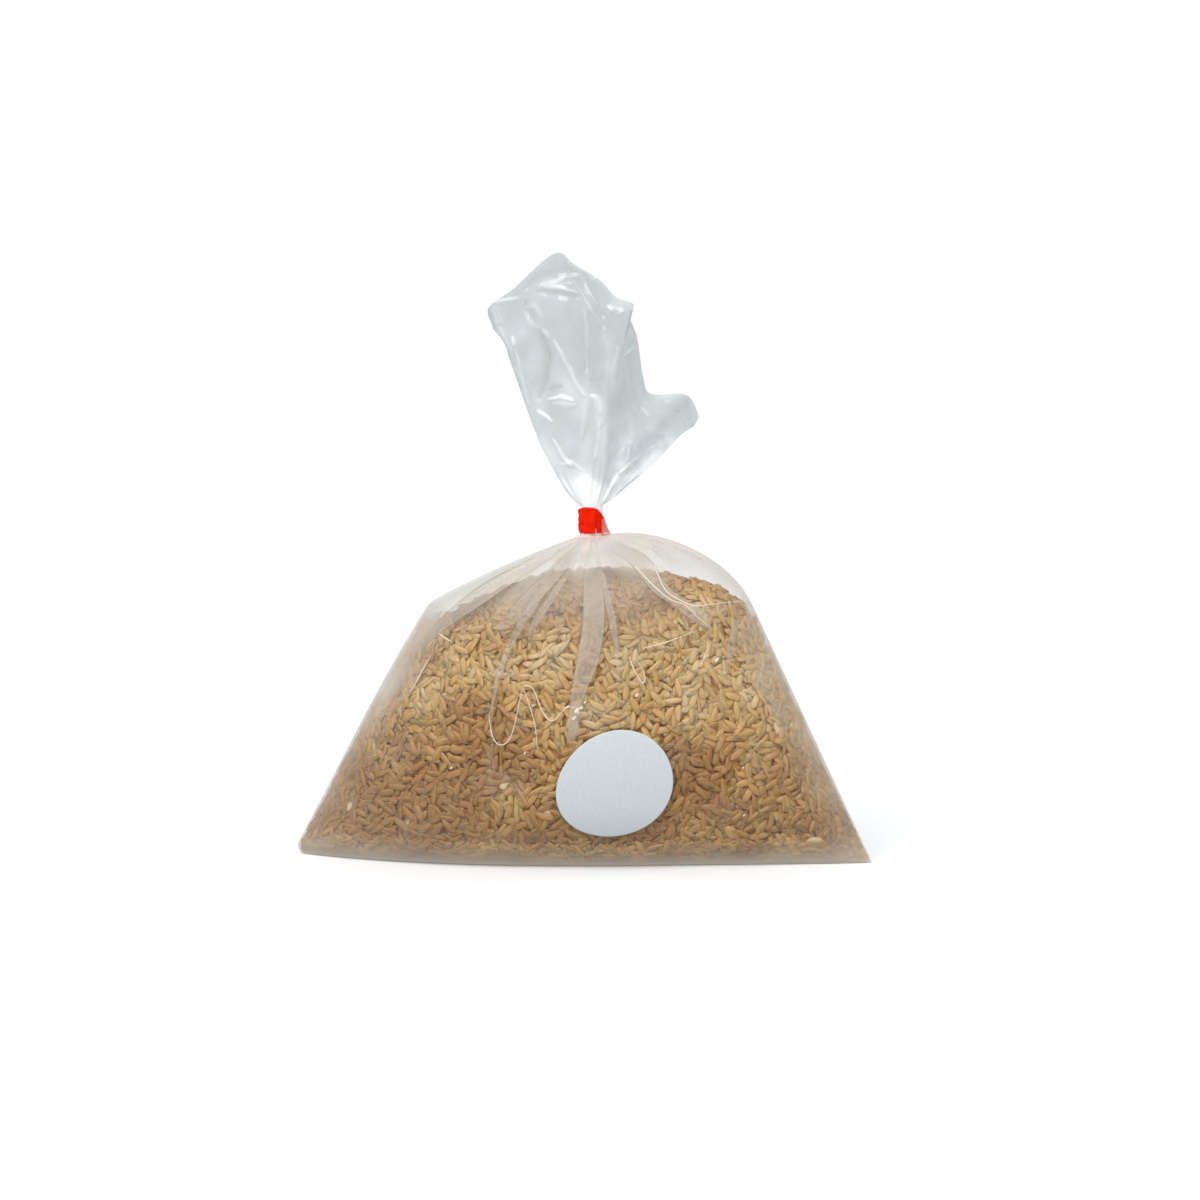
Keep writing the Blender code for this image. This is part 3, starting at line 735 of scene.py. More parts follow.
def tail_depth(sizes, angle, across, height):
    """The loose film's y without its creases, and how freely each point may crumple.

    The tube's middle waves front to back and its ends lean back by the height squared. The tube is
    nearly flat at the rim, and each layer has its own crumple.
    """
    wave = 0.0044 * np.sin(2 * math.pi * (1.55 * across + 0.10))
    wave = wave + 0.0016 * np.sin(2 * math.pi * (4.3 * across + 0.35))
    wave = wave * ease(height * 1.3)
    lean = 0.026 * ease((across - 0.55) / 0.45) - 0.010 * ease((0.25 - across) / 0.25)
    swell = mix(NECK_RADIUS, 0.0046, ease(height * 4))
    swell = mix(swell, 0.0016, ease((height - 0.35) / 0.65))
    out = np.sin(angle)
    y = wave + lean * height**2 + swell * np.sign(out) * np.abs(out) ** 0.8
    front = out < 0
    way = np.where(front, -1.0, 1.0)
    held = np.abs(out) ** 0.5 * ease(height * 5)
    crease = np.where(front, creased(across, height, 12), creased(across, height, 31))
    y = y + way * sizes.crumple * crease * held * (0.5 + 0.9 * height)
    wide, high = across * 2.4, height * 2.4
    fine = np.where(front, creased(wide, high, 5), creased(wide, high, 8))
    return y + way * 0.40 * sizes.crumple * fine * held, held


def tail_film(sizes):
    """The loose film above the tape: a flattened tube whose rim follows the outline, with its haze.

    Creases are pressed into its front, and three sets of pleats run up from the neck and fade by an
    exponential of the height. Haze is thickest at the neck, where a bell of the height adds to it.
    """
    angle = np.linspace(0, 2 * math.pi, TAIL_COLUMNS, endpoint=False)[None, :]
    rise = np.linspace(-0.03, 1, TAIL_ROWS)[:, None]
    height = np.clip(rise, 0, 1) ** 1.08
    turn = angle / math.pi % 2
    across = np.where(turn <= 1, 1 - turn, turn - 1)
    x, z = tail_outline(angle, across, rise, height)
    y, held = tail_depth(sizes, angle, across, height)
    front = np.sin(angle) < 0
    lift, white = press_creases(TAIL_CREASES, x, z, front)
    y = y - lift * held
    way = np.where(front, -1.0, 1.0)
    for number, size, fade in TAIL_PLEATS:
        pleat = ridges(number * math.pi * across + 1.7 * np.sin(5 * across + number), 1.5)
        fading = ease(height * 9) * np.exp(-fade * height * 2.2) * np.abs(np.sin(angle)) ** 0.4
        y = y + way * size * pleat * fading
    streak = 0.5 + 0.5 * np.sin(41 * across + 3 * np.sin(9 * across))
    haze = 0.2 + 0.50 * np.exp(-((height / 0.13) ** 2)) + 0.08 * streak * np.exp(-height * 2)
    # Painted highlight: the creases' white thickens the haze, and a negative white thins it as painted
    # shade
    haze = haze + 0.5 * white
    haze = haze + 0.05 * waves(across, height * 0.08, 0.020, 24, 17)
    haze = haze + 0.03 * waves(across, height * 0.08, 0.009, 30, 18)
    haze = haze + 0.09 * np.exp(-(((height - 0.32) / 0.25) ** 2))
    points = np.stack(np.broadcast_arrays(x, y, z), axis=-1)
    return points, np.clip(haze + 0 * across, 0, 1)


def depth_map(points, cell=0.0007):
    """The film's front and back depth on an even (x, z) grid.

    Each column is read at even heights and each height at even x, for the front and the back half.
    """
    columns = points.shape[1]
    heights = np.arange(0.0004, NECK_BOTTOM_Z - 0.001, cell)
    places = np.arange(LEFT_CORNER_X - 0.002, RIGHT_CORNER_X + 0.003, cell)
    sliced = np.empty((len(heights), columns, 2))
    for i in range(columns):
        z = np.maximum.accumulate(points[:, i, 2])
        sliced[:, i, 0] = np.interp(heights, z, points[:, i, 0])
        sliced[:, i, 1] = np.interp(heights, z, points[:, i, 1])
    half = columns // 2
    front, back = np.empty((2, len(heights), len(places)))
    for j in range(len(heights)):
        behind, before = sliced[j, : half + 1][::-1], sliced[j, np.r_[half:columns, 0]]
        back[j] = np.interp(places, np.maximum.accumulate(behind[:, 0]), behind[:, 1])
        front[j] = np.interp(places, np.maximum.accumulate(before[:, 0]), before[:, 1])
    return {"x": places[0], "z": heights[0], "cell": cell, "front": front, "back": back}


def depth_at(film, side, x, z):
    """Reads a depth map between its four nearest cells."""
    table = film[side]
    column = np.clip((x - film["x"]) / film["cell"], 0, table.shape[1] - 1.001)
    row = np.clip((z - film["z"]) / film["cell"], 0, table.shape[0] - 1.001)
    i, j = row.astype(int), column.astype(int)
    s, t = row - i, column - j
    low = table[i, j] * (1 - t) + table[i, j + 1] * t
    high = table[i + 1, j] * (1 - t) + table[i + 1, j + 1] * t
    return low * (1 - s) + high * s


def lie_on(film, side, x, z, way_x, way_z, step=0.002):
    """Points of the film's front or back, their outward normals and tangents along (way_x, way_z)."""
    slope_x = (depth_at(film, side, x + step, z) - depth_at(film, side, x - step, z)) / (2 * step)
    slope_z = (depth_at(film, side, x, z + step) - depth_at(film, side, x, z - step)) / (2 * step)
    out = -1.0 if side == "front" else 1.0
    normal = out * np.stack((-slope_x, 1 + 0 * x, -slope_z), axis=1)
    tangent = np.stack((way_x, way_x * slope_x + way_z * slope_z, way_z), axis=1)
    normal /= np.linalg.norm(normal, axis=1, keepdims=True)
    tangent /= np.linalg.norm(tangent, axis=1, keepdims=True)
    return np.stack((x, depth_at(film, side, x, z), z), axis=1), normal, tangent


def fold(film, path, lift, stations=90, ring=12):
    """A flat fold of film that lies on the front: a closed flat profile carried along a path.

    The profile's front layer stands lift high in a rounded arch, and its back layer lies on the film.
    Returns the points, how near each is to a side of the fold and how far along it is.
    """
    path = np.array(path)
    place = np.linspace(0, len(path) - 1, stations)
    line = smooth_through(path, place)
    along = np.gradient(line[:, :2], axis=0)
    along /= np.linalg.norm(along, axis=1, keepdims=True)
    side = np.stack((-along[:, 1], along[:, 0]), axis=1)
    turn = np.linspace(0, 2 * math.pi, ring, endpoint=False)[None, :]
    closing = np.clip(np.minimum(place, place[-1] - place) * 6, 0, 1)[:, None] ** 0.5
    width = line[:, 2:3] * closing
    x = line[:, 0:1] + side[:, 0:1] * width / 2 * np.cos(turn)
    z = line[:, 1:2] + side[:, 1:2] * width / 2 * np.cos(turn)
    height = FOLD_GAP + np.where(np.sin(turn) > 0, lift * np.abs(np.sin(turn)) ** 0.8, 0) * closing
    y = depth_at(film, "front", x, z) - height
    return np.stack((x, y, z), axis=-1), np.cos(turn) ** 6, place[:, None] / place[-1]


def rice_surface(inset=0.0, columns=360):
    """The outside of the rice: base, walls just inside the film, and a heaped top, all inset by a depth.

    Walls are the film's with the sides drawn in. The top rises by the square of the way from the rim to
    the heap's own ridge line.
    """
    angle = np.linspace(0, 2 * math.pi, columns, endpoint=False)[None, :]
    low = RICE_FOOT_Z + 0.5 * inset
    high = by_side(angle, *RICE_RIM_Z) - 0.5 * inset
    z = low + (high - low) * np.linspace(0, 1, 80)[:, None]
    slack = 0.0002 + 0.0013 * ease((z - 0.035) / 0.07)
    slack = slack + RICE_SLACK + 1.6 * inset
    left, right = left_edge(z) + slack, right_edge(z) - slack
    x = (left + right) / 2 + (right - left) / 2 * np.cos(angle)
    up = np.sin(angle)
    half = (half_depth(z) - 0.0007 - inset) * np.abs(up) ** (pinch(z) * 0.97)
    walls = np.stack((x, seam_y(x) + np.sign(up) * half, z), axis=-1)
    rim_x, rim_y, rim_z = walls[-1].T
    foot_x, foot_y, foot_z = walls[0].T
    share = np.linspace(1, 0, 26)[1:, None]
    ridge = np.maximum(np.interp(rim_x, *RICE_TOP.T) - 1.7 * inset, rim_z)
    ridge = ridge + 0.00030 * waves(rim_x / 0.08, 0, 0.006, 12, 6)
    top_y = seam_y(rim_x) + (rim_y - seam_y(rim_x)) * share
    top = np.stack(np.broadcast_arrays(rim_x, top_y, ridge + (rim_z - ridge) * share**2), axis=-1)
    base_y = seam_y(foot_x) + (foot_y - seam_y(foot_x)) * share[::-1]
    base = np.stack(np.broadcast_arrays(foot_x, base_y, foot_z), axis=-1)
    return np.concatenate((base, walls, top))


def spread_over(points, count, cell, rng):
    """Random places spread over a grid by area, no two in one small cube, with their frames.

    Returns positions, outward normals and one tangent each.
    """
    a, b = points[:-1], points[1:]
    c, d = np.roll(a, -1, axis=1), np.roll(b, -1, axis=1)
    cross = np.cross(c - a, b - a)
    area = np.linalg.norm(cross, axis=-1)
    chosen = rng.choice(area.size, count, p=(area / area.sum()).ravel())
    s, t = rng.random((2, count, 1))
    a, b, c, d = (corner.reshape(-1, 3)[chosen] for corner in (a, b, c, d))
    place = (a * (1 - s) + b * s) * (1 - t) + (c * (1 - s) + d * s) * t
    normal = cross.reshape(-1, 3)[chosen]
    good = np.linalg.norm(normal, axis=1) > 1e-12
    place, normal, a, c = place[good], normal[good], a[good], c[good]
    _, first = np.unique(np.floor(place / cell).astype(int), axis=0, return_index=True)
    first = rng.permutation(first)
    normal = normal[first] / np.linalg.norm(normal[first], axis=1, keepdims=True)
    tangent = (c - a)[first]
    tangent /= np.maximum(np.linalg.norm(tangent, axis=1, keepdims=True), 1e-12)
    return place[first], normal, tangent


def grain_shape(rings, radii, bend):
    """One grain along X, one unit long each way: flat six-sided rings between two poles.

    Returns its points, how far each is bent aside, which falls by the square of x, and its faces.
    """
    turn = np.radians(GRAIN_CORNERS)
    sides = len(turn)
    ring_x, radius = np.array(rings)[:, None], np.array(radii)[:, None]
    body = np.stack(np.broadcast_arrays(ring_x, radius * np.cos(turn), radius * np.sin(turn)), axis=-1)
    points = np.concatenate((((-1.0, 0, 0),), body.reshape(-1, 3), ((1.0, 0, 0),)))
    aside = bend * (1 - points[:, 0] ** 2)
    faces = []
    last = len(points) - 1
    top = 1 + (len(rings) - 1) * sides
    for i in range(sides):
        j = (i + 1) % sides
        faces += [(0, 1 + j, 1 + i)]
        for ring in range(len(rings) - 1):
            a, b = 1 + ring * sides, 1 + (ring + 1) * sides
            faces += [(a + i, a + j, b + j), (a + i, b + j, b + i)]
        faces += [(last, top + i, top + j)]
    return points, aside, np.array(faces)


def layer_places(sizes, surface, rng):
    """Places for the layers of grains under the film, each with its normal, tangent, tilt and depth.

    A tilted grain lies deeper by the sine of its tilt, so that its end stays under the film.
    """
    spots = []
    for depth, scatter, tilt, cell, part in GRAIN_LAYERS:
        place, normal, tangent = spread_over(surface, 60000, cell, rng)
        keep = rng.random(len(place)) < np.where(normal[:, 2] < -0.9, 0.45, 1.0)
        place, normal, tangent = place[keep], normal[keep], tangent[keep]
        most = int(sizes.count * part)
        place, normal, tangent = place[:most], normal[:most], tangent[:most]
        lean = np.radians(np.clip(rng.normal(0, tilt, len(place)), -2 * tilt, 2 * tilt))
        sunk = depth + scatter * rng.random(len(place)) + sizes.width * 0.30
        sunk += np.abs(np.sin(lean)) * sizes.length * 0.42 * (0.35 if depth else 1.0)
        spots.append((place, normal, tangent, lean, sunk))
    return spots


def edge_places(film, rng):
    """Places for the grains along the film's thin side and bottom edges, in the same form.

    They crowd towards the edge by a power of a random share, and lie nearly along it.
    """
    spots = []
    for face, beside, low in EDGE_GRAINS:
        most = beside + low
        z = np.append(rng.uniform(0.002, 0.106, beside), rng.uniform(0.0016, 0.0090, low))
        right = rng.random(most) < 0.5
        crowding = np.append(0.0130 * rng.random(beside) ** 1.3, 0.1180 * rng.random(low) ** 1.5)
        inset = 0.0010 + crowding
        x = np.where(right, right_edge(z) - inset, left_edge(z) + inset)
        turn = rng.normal(0, 0.18 + 30 * np.clip(inset, 0, 0.015))
        turn[:beside] += np.where(right, RIGHT_GRAIN_TURN, LEFT_GRAIN_TURN)[:beside]
        place, normal, tangent = lie_on(film, face, x, z, np.cos(turn), np.sin(turn))
        lean = np.radians(rng.normal(0, 4, most))
        sunk = 0.0010 + 0.0016 * rng.random(most) ** 1.5
        spots.append((place, normal, tangent, lean, sunk))
    return spots


def grain_shades(centre, depth, rng):
    """How pale each grain is, from 0 for amber to 1 for chalk: a normal spread round the middle.

    Deep grains are painted lighter, as painted light against the shade between the grains above them.
    Each rice shade is a product of two soft steps; the lower half's darkening is painted shade and the
    bottom's lightening painted light. A bell round each amber spot darkens most what lies deep: the rice's
    own amber with painted shade deep between the grains. A few grains turn pale.
    """
    x, y, z = centre.T
    # Painted light: deeper grains lighter, against the shade between the grains above
    shade = rng.normal(SHADE_MIDDLE, SHADE_SPREAD, len(x)) + depth * 10
    shade += 0.09 * waves(x / 0.08, z, 0.024, 30, 77)
    for amount, across_z, across_x in RICE_SHADES.values():
        shade -= amount * rising(z, *across_z) * rising(x, *across_x)
    for spot_x, spot_z, reach, strength in AMBER_AND_SHADE_SPOTS:
        bell = np.exp(-((x - spot_x) ** 2 + (z - spot_z) ** 2) / reach**2)
        shade -= strength * bell * (y < 0) * (0.4 + 200 * depth)
    shade = np.clip(shade, 0.02, 0.88)
    pale = (rng.random(len(x)) < 0.003) & (depth < 0.003)
    return np.where(pale, 0.86, shade)


def lay_grains(sizes, film, surface):
    """Places grains in three layers under the film, mostly flat to it, and more along its thin edges.

    Each grain's length, width and thickness go along three axes: its tangent turned round the normal and
    tilted, and two across it that roll. Any grain that would poke out of the film is dropped.
    Returns for each kind its points, its faces and a tone for each point.
    """
    rng = np.random.default_rng(2024)
    layers = layer_places(sizes, surface, rng)
    edges = edge_places(film, rng)
    place, normal, tangent, tilt, depth = (np.concatenate(each) for each in zip(*layers, *edges))
    count = len(place)
    way = rng.uniform(0, 2 * math.pi, count)
    way[-sum(len(spot[0]) for spot in edges):] = 0
    way, lean = way[:, None], tilt[:, None]
    along = tangent * np.cos(way) + np.cross(normal, tangent) * np.sin(way)
    across = np.cross(normal, along)
    axis = along * np.cos(lean) + normal * np.sin(lean)
    up = normal * np.cos(lean) - along * np.sin(lean)
    roll = rng.uniform(-0.4, 0.4, count)[:, None]
    side = across * np.cos(roll) + up * np.sin(roll)
    up = up * np.cos(roll) - across * np.sin(roll)
    centre = place - normal * depth[:, None]
    long = sizes.length / 2 * np.clip(rng.normal(1.0, 0.07, count), 0.82, 1.16)
    wide = sizes.width / 2 * np.clip(rng.normal(1.0, 0.06, count), 0.85, 1.15)
    thick = wide * rng.uniform(0.42, 0.54, count)
    shade = grain_shades(centre, depth, rng)
    parts = [part for _, _, _, part in GRAIN_KINDS.values()]
    pick = rng.choice(len(parts), count, p=parts)
    made = {}
    for number, (name, (rings, radii, bend, _)) in enumerate(GRAIN_KINDS.items()):
        mine = pick == number
        shape, aside, faces = grain_shape(rings, radii, bend)
        short = rng.uniform(*BROKEN_LENGTHS, mine.sum()) if name == "broken_grains" else 1.0
        slim = SLIM_WIDTH if name == "slim_grains" else 1.0
        flip = rng.choice((-1.0, 1.0), mine.sum())
        reach = (long[mine] * short)[:, None]
        lengthwise = shape[None, :, 0] * reach
        sideways = shape[None, :, 1] * wide[mine][:, None] * slim + aside * reach * flip[:, None]
        upwards = shape[None, :, 2] * thick[mine][:, None] * slim
        local = (
            axis[mine][:, None] * lengthwise[..., None]
            + side[mine][:, None] * sideways[..., None]
            + up[mine][:, None] * upwards[..., None]
        )
        points = centre[mine][:, None] + local
        x, y, z = points[..., 0], points[..., 1], points[..., 2]
        room = np.minimum(y - depth_at(film, "front", x, z), depth_at(film, "back", x, z) - y)
        inside = (room.min(axis=1) > sizes.clearance) & (z.min(axis=1) > LEAST_GRAIN_Z)
        points = points[inside]
        # Painted light: each grain lighter along its long edges and darker down its middle, as if lit
        # through its thin rims
        tone = shade[mine][inside][:, None] + 0.16 * (np.abs(shape[None, :, 1]) - 0.7)
        index = faces[None] + np.arange(len(points))[:, None, None] * len(shape)
        made[name] = points.reshape(-1, 3), index.reshape(-1, 3), tone
    return made


def tape_band():
    """The tape: a strip wound one and a third turns, its radius growing evenly with the angle.

    Its lower edge tucks in slightly, its upper edge is slanted and falls at the right by the cubed cosine
    of the angle, and the last stretch lifts off as a loose end.
    """
    turns = np.linspace(0, 1, 150)[None, :]
    angle = TAPE_END - 2 * math.pi * TAPE_TURNS * (1 - turns)
    up = np.linspace(0, 1, 26)[:, None]
    slant = 0.0011 * np.cos(angle - math.radians(200))
    right, left = np.clip(np.cos(angle), 0, 1), np.clip(-np.cos(angle), 0, 1)
    low = TAPE_LOW[2] + 0.0006 + slant * 0.3 - 0.0003 * np.sin(2 * angle)
    high = TAPE_HIGH[2] - 0.0002 + 0.3 * slant - (0.0055 * right**3 + 0.0014 * left**4)
    radius = TAPE_RADIUS + TAPE_STEP * turns * TAPE_TURNS - 0.0003 * (1 - up) ** 6
    radius = radius + 0.00013 * np.sin(11 * angle + 2 * up) + 0.00010 * np.sin(5 * angle - 7 * up)
    radius = radius + 0.00010 * waves(angle, up * 0.012, 0.004, 20, 21, girth=0.006)
    radius = radius + 0.0011 * ease((turns - 0.93) / 0.07)
    x = NECK_X + radius * np.cos(angle)
    y = radius * np.sin(angle) * TAPE_FLATTENING
    return np.stack(np.broadcast_arrays(x, y, mix(low, high, up)), axis=-1)


def tape_corner():
    """The tape's loose corner: a strip beside the band's right edge, flared by a power of the drop."""
    turn = np.linspace(math.radians(-38), math.radians(38), 24)[None, :]
    down = np.linspace(0, 1, 16)[:, None]
    beside = np.cos(math.pi * (turn - turn.mean()) / (turn.max() - turn.min()))
    radius = 0.0057 + 0.0026 * down**1.3 * beside
    z = mix(TAPE_HIGH[2] - 0.0050, TAPE_LOW[2] + 0.0002 + 0.0004 * np.sin(3 * turn), down)
    x, y = NECK_X + radius * np.cos(turn), TAPE_FLATTENING * radius * np.sin(turn)
    return np.stack(np.broadcast_arrays(x, y, z), axis=-1)


def label_sheet(film):
    """The oval label: an egg-shaped ellipse in polar rings, laid on the front film and a little wavy."""
    turn = np.linspace(0, 2 * math.pi, 180, endpoint=False)[None, :]
    reach = np.linspace(0.0, 1, 44)[1:, None] ** 0.8
    along = LABEL_HALF_LENGTH * reach * np.cos(turn)
    over = LABEL_HALF_WIDTH * reach * np.sin(turn) * (1 + LABEL_EGG * np.cos(turn) * reach)
    x = LABEL_X + along * math.cos(LABEL_TILT) - over * math.sin(LABEL_TILT)
    z = LABEL_Z + along * math.sin(LABEL_TILT) + over * math.cos(LABEL_TILT)
    left, right = left_edge(z), right_edge(z)
    share = (x - (left + right) / 2) / ((right - left) / 2)
    smooth = seam_y(x) - half_depth(z) * np.sqrt(1 - share**2) ** pinch(z)
    bump = LABEL_WAVE * waves(x / 0.08, z, 0.011, 30, 5)
    y = np.minimum(smooth - LABEL_LIFT, depth_at(film, "front", x, z) - LABEL_GAP) + bump
    return np.stack((x, y, z), axis=-1)


def mesh_piece(name, points, faces, attributes=()):
    """Puts arrays of points and faces into a new object, with one number for each point as an attribute."""
    data = bpy.data.meshes.new(name)
    data.vertices.add(len(points))
    data.vertices.foreach_set("co", np.asarray(points, dtype=np.float32).ravel())
    sides = faces.shape[1]
    data.loops.add(faces.size)
    data.loops.foreach_set("vertex_index", faces.astype(np.int32).ravel())
    data.polygons.add(len(faces))
    data.polygons.foreach_set("loop_start", np.arange(0, faces.size, sides, dtype=np.int32))
    data.update(calc_edges=True)
    for label, values in dict(attributes).items():
        layer = data.attributes.new(label, "FLOAT", "POINT")
        layer.data.foreach_set("value", np.asarray(values, dtype=np.float32).ravel())
    data.shade_smooth()
    data.validate()
    piece = bpy.data.objects.new(name, data)
    bpy.context.scene.collection.objects.link(piece)
    return piece


def grid_faces(rows, columns, wrap=True):
    """Quads of a grid of points, closed round its columns if it wraps."""
    row = np.arange(rows - 1)[:, None] * columns
    column = np.arange(columns if wrap else columns - 1)[None, :]
    after = (column + 1) % columns
    return np.stack(
        (row + column, row + after, row + columns + after, row + columns + column), axis=-1
    ).reshape(-1, 4)


def weld(piece, distance=1e-6):
    """Merges points that lie on each other and drops what they leave flat."""
    mesh = bmesh.new()
    mesh.from_mesh(piece.data)
    bmesh.ops.remove_doubles(mesh, verts=mesh.verts, dist=distance)
    bmesh.ops.dissolve_degenerate(mesh, edges=mesh.edges, dist=1e-8)
    mesh.to_mesh(piece.data)
    mesh.free()
    return piece


def finish_piece(piece, finish, node):
    """Gives a piece its finish and says what it rides on and stands for."""
    piece.data.materials.clear()
    piece.data.materials.append(finish)
    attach(piece, "root")
    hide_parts(node)
    return piece


class Wiring:
    """The node tree of a material or world under construction, with short calls for its nodes."""

    def __init__(self, owner, output="OutputMaterial"):
        self.owner = owner
        owner.use_nodes = True
        self.tree = owner.node_tree
        self.tree.nodes.clear()
        self.output = self.node(output)

    def node(self, kind, links=(), **values):
        """Adds a node, sets its own settings or its inputs by name, and links the rest."""
        made = self.tree.nodes.new("ShaderNode" + kind)
        for key, value in values.items():
            if hasattr(made, key):
                setattr(made, key, value)
            else:
                made.inputs[key.replace("_", " ")].default_value = value
        for socket, source in dict(links).items():
            self.tree.links.new(source, made.inputs[socket])
        return made

    def number(self, operation, a, b, clamp=False):
        """A Math node on two values, each a socket or a number."""
        made = self.node("Math", operation=operation, use_clamp=clamp)
        for socket, value in zip(made.inputs, (a, b)):
            if isinstance(value, (int, float)):
                socket.default_value = value
            else:
                self.tree.links.new(value, socket)
        return made.outputs[0]

    def ramp(self, share, *stops):
        """A colour ramp through (position, colour) stops."""
        made = self.node("ValToRGB", {"Fac": share})
        elements = made.color_ramp.elements
        for place, colour in stops[2:]:
            elements.new(1.0)
        for element, (place, colour) in zip(elements, stops):
            element.position, element.color = place, (*colour, 1)
        return made.outputs[0]

    def done(self, shader):
        """Links the finished shader to the output."""
        self.tree.links.new(shader, self.output.inputs["Surface"])
        return self.owner


def new_material(name):
    """The wiring of a new material."""
    return Wiring(bpy.data.materials.new(name))


def film_finish(
    name, looks, milk, veil=0.0, edge_gain=0.0, mirror=0.0, bump=0.10, tint=None, full=0.001,
    glance=0.0, thick=None, red_reflection=None,
):
    """Clear film: a tinted see-through share, a milky share and a mirror share.

    The milky share is the haze and the veil, and at the rims of folds edge_gain times a power of the
    angle. The mirror share is mirror and glance times a power of the angle. The colour runs from the grey
    veil to milk, which it reaches where haze is full, and on to the thick haze and to the tape's painted
    red reflection where they are given.
    """
    f = new_material(name)
    place = f.node("TexCoord").outputs["Object"]
    fine = f.node("TexNoise", {"Vector": place}, Scale=95.0, Detail=4.0, Roughness=0.55)
    relief = f.node("Bump", {"Height": fine.outputs[0]}, Strength=bump, Distance=0.0012).outputs[0]
    facing = f.node("LayerWeight", {"Normal": relief}, Blend=0.5).outputs["Facing"]
    haze = f.node("Attribute", attribute_name="haze").outputs["Fac"]
    rims = f.number("MULTIPLY", f.number("POWER", facing, 2.6), edge_gain)
    milky = f.number("ADD", f.number("ADD", haze, rims), veil, clamp=True)
    dark = tuple(0.72 * c for c in looks.film_veil)
    colour = f.ramp(
        haze, (0.0, dark), (0.4 * full, looks.film_veil), (full, milk), (0.62, milk),
        (0.88, thick or milk), (1.0, red_reflection or milk),
    )
    clear = f.node("BsdfTransparent", Color=(*(tint or looks.film_tint), 1)).outputs[0]
    film = f.node("BsdfPrincipled", {"Base Color": colour, "Normal": relief}, Roughness=0.36).outputs[0]
    body = f.node("MixShader", {0: milky, 1: clear, 2: film}).outputs[0]
    shine = f.node("BsdfGlossy", {"Normal": relief}, Color=(1, 1, 1, 1), Roughness=0.14).outputs[0]
    reflected = f.number("ADD", f.number("MULTIPLY", f.number("POWER", facing, 4.0), glance), mirror)
    return f.done(f.node("MixShader", {0: reflected, 1: body, 2: shine}).outputs[0])


def grain_finish(looks):
    """Waxy golden rice: each grain has its own tone, with a mottled chalky variation along it."""
    f = new_material("golden_rice")
    place = f.node("TexCoord").outputs["Object"]
    mottle = f.node("TexNoise", {"Vector": place}, Scale=420.0, Detail=3.0, Roughness=0.6).outputs[0]
    tone = f.node("Attribute", attribute_name="tone").outputs["Fac"]
    varied = f.number("ADD", tone, f.number("MULTIPLY", f.number("SUBTRACT", mottle, 0.5), 0.45))
    colour = f.ramp(
        varied, (0.0, looks.grain_amber), (0.45, looks.grain_gold), (0.85, looks.grain_pale),
        (1.0, looks.grain_chalk),
    )
    relief = f.node("Bump", {"Height": mottle}, Strength=0.3, Distance=0.0003).outputs[0]
    return f.done(
        f.node(
            "BsdfPrincipled",
            {"Base Color": colour, "Normal": relief},
            Roughness=0.38,
            Subsurface_Weight=0.75,
            Subsurface_Radius=(1.0, 1.0, 1.0),
            Subsurface_Scale=0.0021,
        ).outputs[0]
    )


def depth_finish(looks):
    """The rice deep between the grains: dark amber in grain-sized cells, darkening to their rims as painted
    shade.
    """
    f = new_material("rice_depth")
    place = f.node("TexCoord").outputs["Object"]
    grains = f.node("TexVoronoi", {"Vector": place}, Scale=380.0).outputs["Distance"]
    # Painted shade: each cell darkens towards its rim, as between grains
    dark = tuple(0.55 * c for c in looks.depth_brown)
    colour = f.ramp(grains, (0.1, looks.depth_brown), (0.9, dark))
    relief = f.node("Bump", {"Height": grains}, Strength=0.8, Distance=0.002).outputs[0]
    return f.done(
        f.node("BsdfPrincipled", {"Base Color": colour, "Normal": relief}, Roughness=0.7).outputs[0]
    )


def tape_finish(looks):
    """Satin red film tape with faint lengthwise streaks and a soft sheen."""
    f = new_material("red_tape_film")
    place = f.node("TexCoord").outputs["Object"]
    stretched = f.node("Mapping", {"Vector": place}, Scale=(300.0, 300.0, 2600.0)).outputs[0]
    streaks = f.node("TexNoise", {"Vector": stretched}, Scale=1.0, Detail=3.0).outputs[0]
    dark = tuple(0.84 * c for c in looks.tape_red)
    colour = f.ramp(streaks, (0.3, dark), (0.7, looks.tape_red))
    relief = f.node("Bump", {"Height": streaks}, Strength=0.3, Distance=0.0002).outputs[0]
    return f.done(
        f.node(
            "BsdfPrincipled",
            {"Base Color": colour, "Normal": relief},
            Roughness=0.5,
            Specular_IOR_Level=0.05,
        ).outputs[0]
    )


def corner_finish(looks):
    """The tape's thin loose corner: red let through and washed out to pink."""
    f = new_material("pink_tape_film")
    place = f.node("TexCoord").outputs["Object"]
    cloud = f.node("TexNoise", {"Vector": place}, Scale=500.0, Detail=2.0).outputs[0]
    colour = f.ramp(cloud, (0.3, looks.corner_red), (0.7, looks.corner_pink))
    clear = f.node("BsdfTransparent", Color=(*looks.corner_tint, 1)).outputs[0]
    film = f.node("BsdfPrincipled", {"Base Color": colour}, Roughness=0.4).outputs[0]
    return f.done(f.node("MixShader", {1: clear, 2: film}, Fac=0.42).outputs[0])


